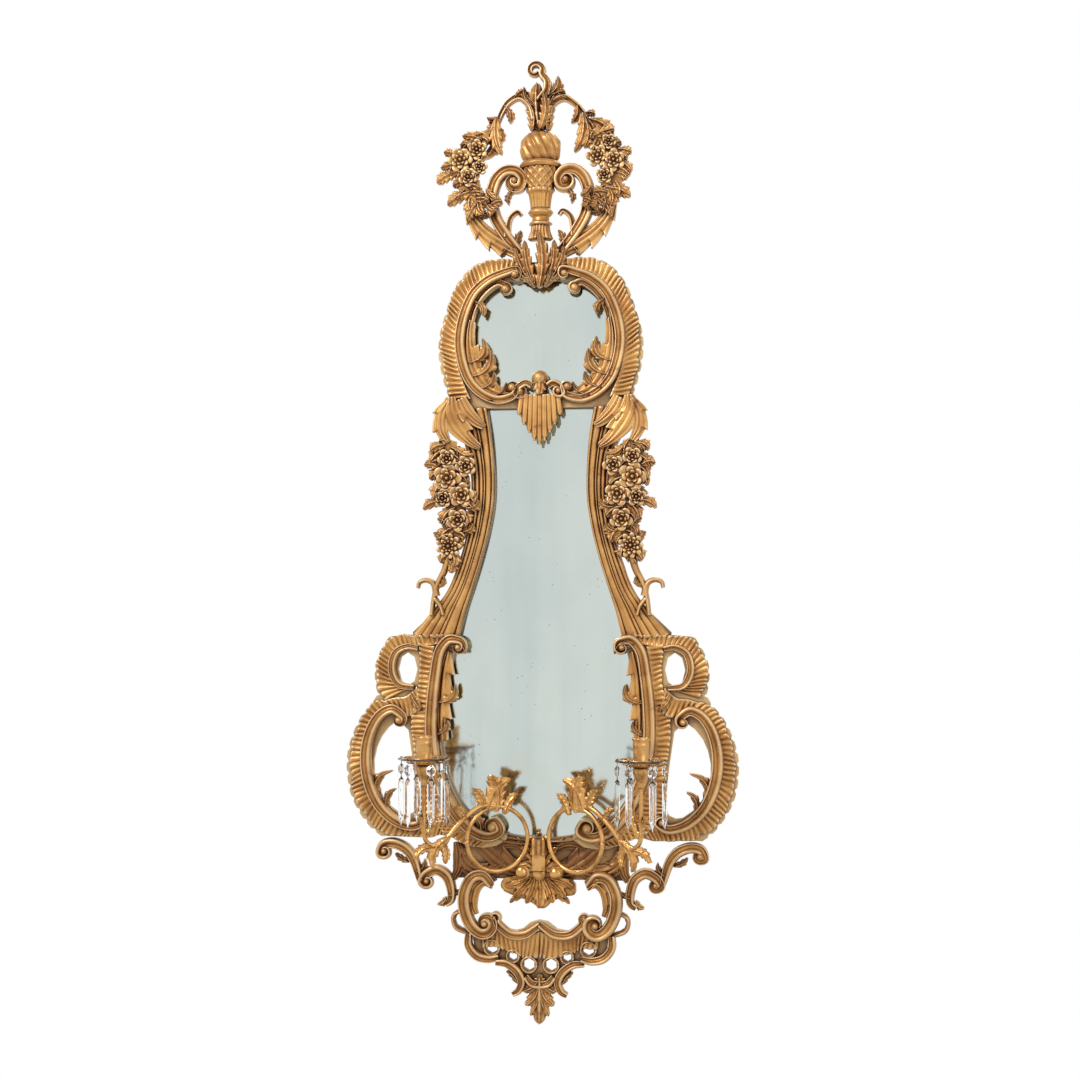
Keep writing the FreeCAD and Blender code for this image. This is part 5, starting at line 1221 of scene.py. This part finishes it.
def on_drop(side, i):
    """Lays (across, forward, up) on drop i, which hangs from its hole in the pan's rim."""
    a = 2 * math.pi * (i + 0.5) / DROP_COUNT - side * BRANCH_TURN
    pan_x = side * (HINGE_HALF + REACH * math.cos(BRANCH_TURN))
    pan_y = -HINGE_DEPTH - REACH * math.sin(BRANCH_TURN)

    def lay(p):
        x = pan_x + (HOLE_CIRCLE + p[:, 1]) * math.cos(a) - p[:, 0] * math.sin(a)
        y = pan_y + (HOLE_CIRCLE + p[:, 1]) * math.sin(a) + p[:, 0] * math.cos(a)
        return np.column_stack([x, y, BRANCH_LEVEL + HOLE_LEVEL + p[:, 2]]) * MM

    return lay


for word, side in SIDES:
    for i in range(DROP_COUNT):
        name, lay = f"{word}_drop_{i + 1}", on_drop(side, i)
        glass = [stone(BEAD, 4.0, 0.5), stone(SPEAR, 4.0, 0.34, 0.82)]
        piece(name + "_stones", glass, GLASS, name, [name], where=lay, sharp=True)
        head = turned([(0.3, 2.1), (2.0, 2.4), (1.8, 3.1), (0.3, 3.3)], (0, 0), 12)
        wire = [turned([(0.7, -30.0), (0.7, 2.2)], (0, 0), 8), head]
        piece(name + "_wire", wire, BRASS, name, where=lay)

print("pieces:", len(made), "faces:", sum(count for _, count in made))

# %% [markdown]
# **The stage.** The mirror hangs clear of the floor, in front of nothing, as a cut-out picture
# shows it. The floor is a pale disc far below it. What a ray from the camera, a gloss or a glass
# meets beyond it is plain white. Matt surfaces get only a weak even light from there, so that the
# lamps can model the carving.

# %% Floor and world
FLOOR_LEVEL, FLOOR_RADIUS = -1.45, 1.2
work = bmesh.new()
bmesh.ops.create_circle(work, cap_ends=True, segments=96, radius=FLOOR_RADIUS)
floor_mesh = bpy.data.meshes.new("floor")
work.to_mesh(floor_mesh)
work.free()
floor = bpy.data.objects.new("floor", floor_mesh)
floor.location = (0, -0.1, FLOOR_LEVEL)
bpy.context.scene.collection.objects.link(floor)
paint = Finish("pale_floor")
paint.set(Base_Color=paint.mix(paint.noise(3.0), srgb(246, 246, 246), srgb(240, 240, 240)), Roughness=0.9)
floor_mesh.materials.append(paint.material)

WORLD_LIGHT = 0.22
world = bpy.data.worlds.new("plain_white")
world.use_nodes = True
bpy.context.scene.world = world
tree = world.node_tree
back = tree.nodes["Background"]
back.inputs["Color"].default_value = (1, 1, 1, 1)
path = tree.nodes.new("ShaderNodeLightPath")


def larger(a, b):
    n = tree.nodes.new("ShaderNodeMath")
    n.operation = "MAXIMUM"
    tree.links.new(a, n.inputs[0])
    if isinstance(b, float):
        n.inputs[1].default_value = b
    else:
        tree.links.new(b, n.inputs[1])
    return n.outputs["Value"]


seen = larger(path.outputs["Is Camera Ray"], path.outputs["Is Glossy Ray"])
seen = larger(seen, path.outputs["Is Transmission Ray"])
tree.links.new(larger(seen, WORLD_LIGHT), back.inputs["Strength"])

# %% [markdown]
# Three soft lamps: a strong one up and to the left in front, a wide and weak one to the right, and
# one from behind and above that draws a line of light along the edges.

# %% Lamps
def lamp(name, place, target, size, power):
    light = bpy.data.lights.new(name, "AREA")
    light.size, light.energy = size, power
    thing = bpy.data.objects.new(name, light)
    thing.location = place
    thing.rotation_euler = (Vector(target) - Vector(place)).to_track_quat("-Z", "Y").to_euler()
    bpy.context.scene.collection.objects.link(thing)


lamp("key_lamp", (-1.5, -2.1, 1.7), (0, 0, -0.2), 0.7, 62)
lamp("fill_lamp", (1.9, -2.0, 0.1), (0, 0, -0.3), 1.4, 12)
lamp("rim_lamp", (0.4, 1.3, 1.8), (0, 0, -0.1), 0.8, 10)

# %% [markdown]
# **The camera** stands a little to the right of the mirror and a little below its middle, and
# looks up slightly, which is how much of the right edges and of the undersides the picture shows.

# %% Camera
PICTURE_SPAN = 1.732
CAMERA, AIM = Vector((0.33, -2.7, -0.36)), Vector((-0.0013, -0.02, -0.2411))
camera_data = bpy.data.cameras.new("picture_camera")
camera_data.sensor_fit = "HORIZONTAL"
camera_data.angle = 2 * math.atan(PICTURE_SPAN / 2 / (AIM - CAMERA).length)
camera = bpy.data.objects.new("picture_camera", camera_data)
camera.location = CAMERA
camera.rotation_euler = (AIM - CAMERA).to_track_quat("-Z", "Y").to_euler()
bpy.context.scene.collection.objects.link(camera)
bpy.context.scene.camera = camera
bpy.context.scene.view_settings.view_transform = "Standard"
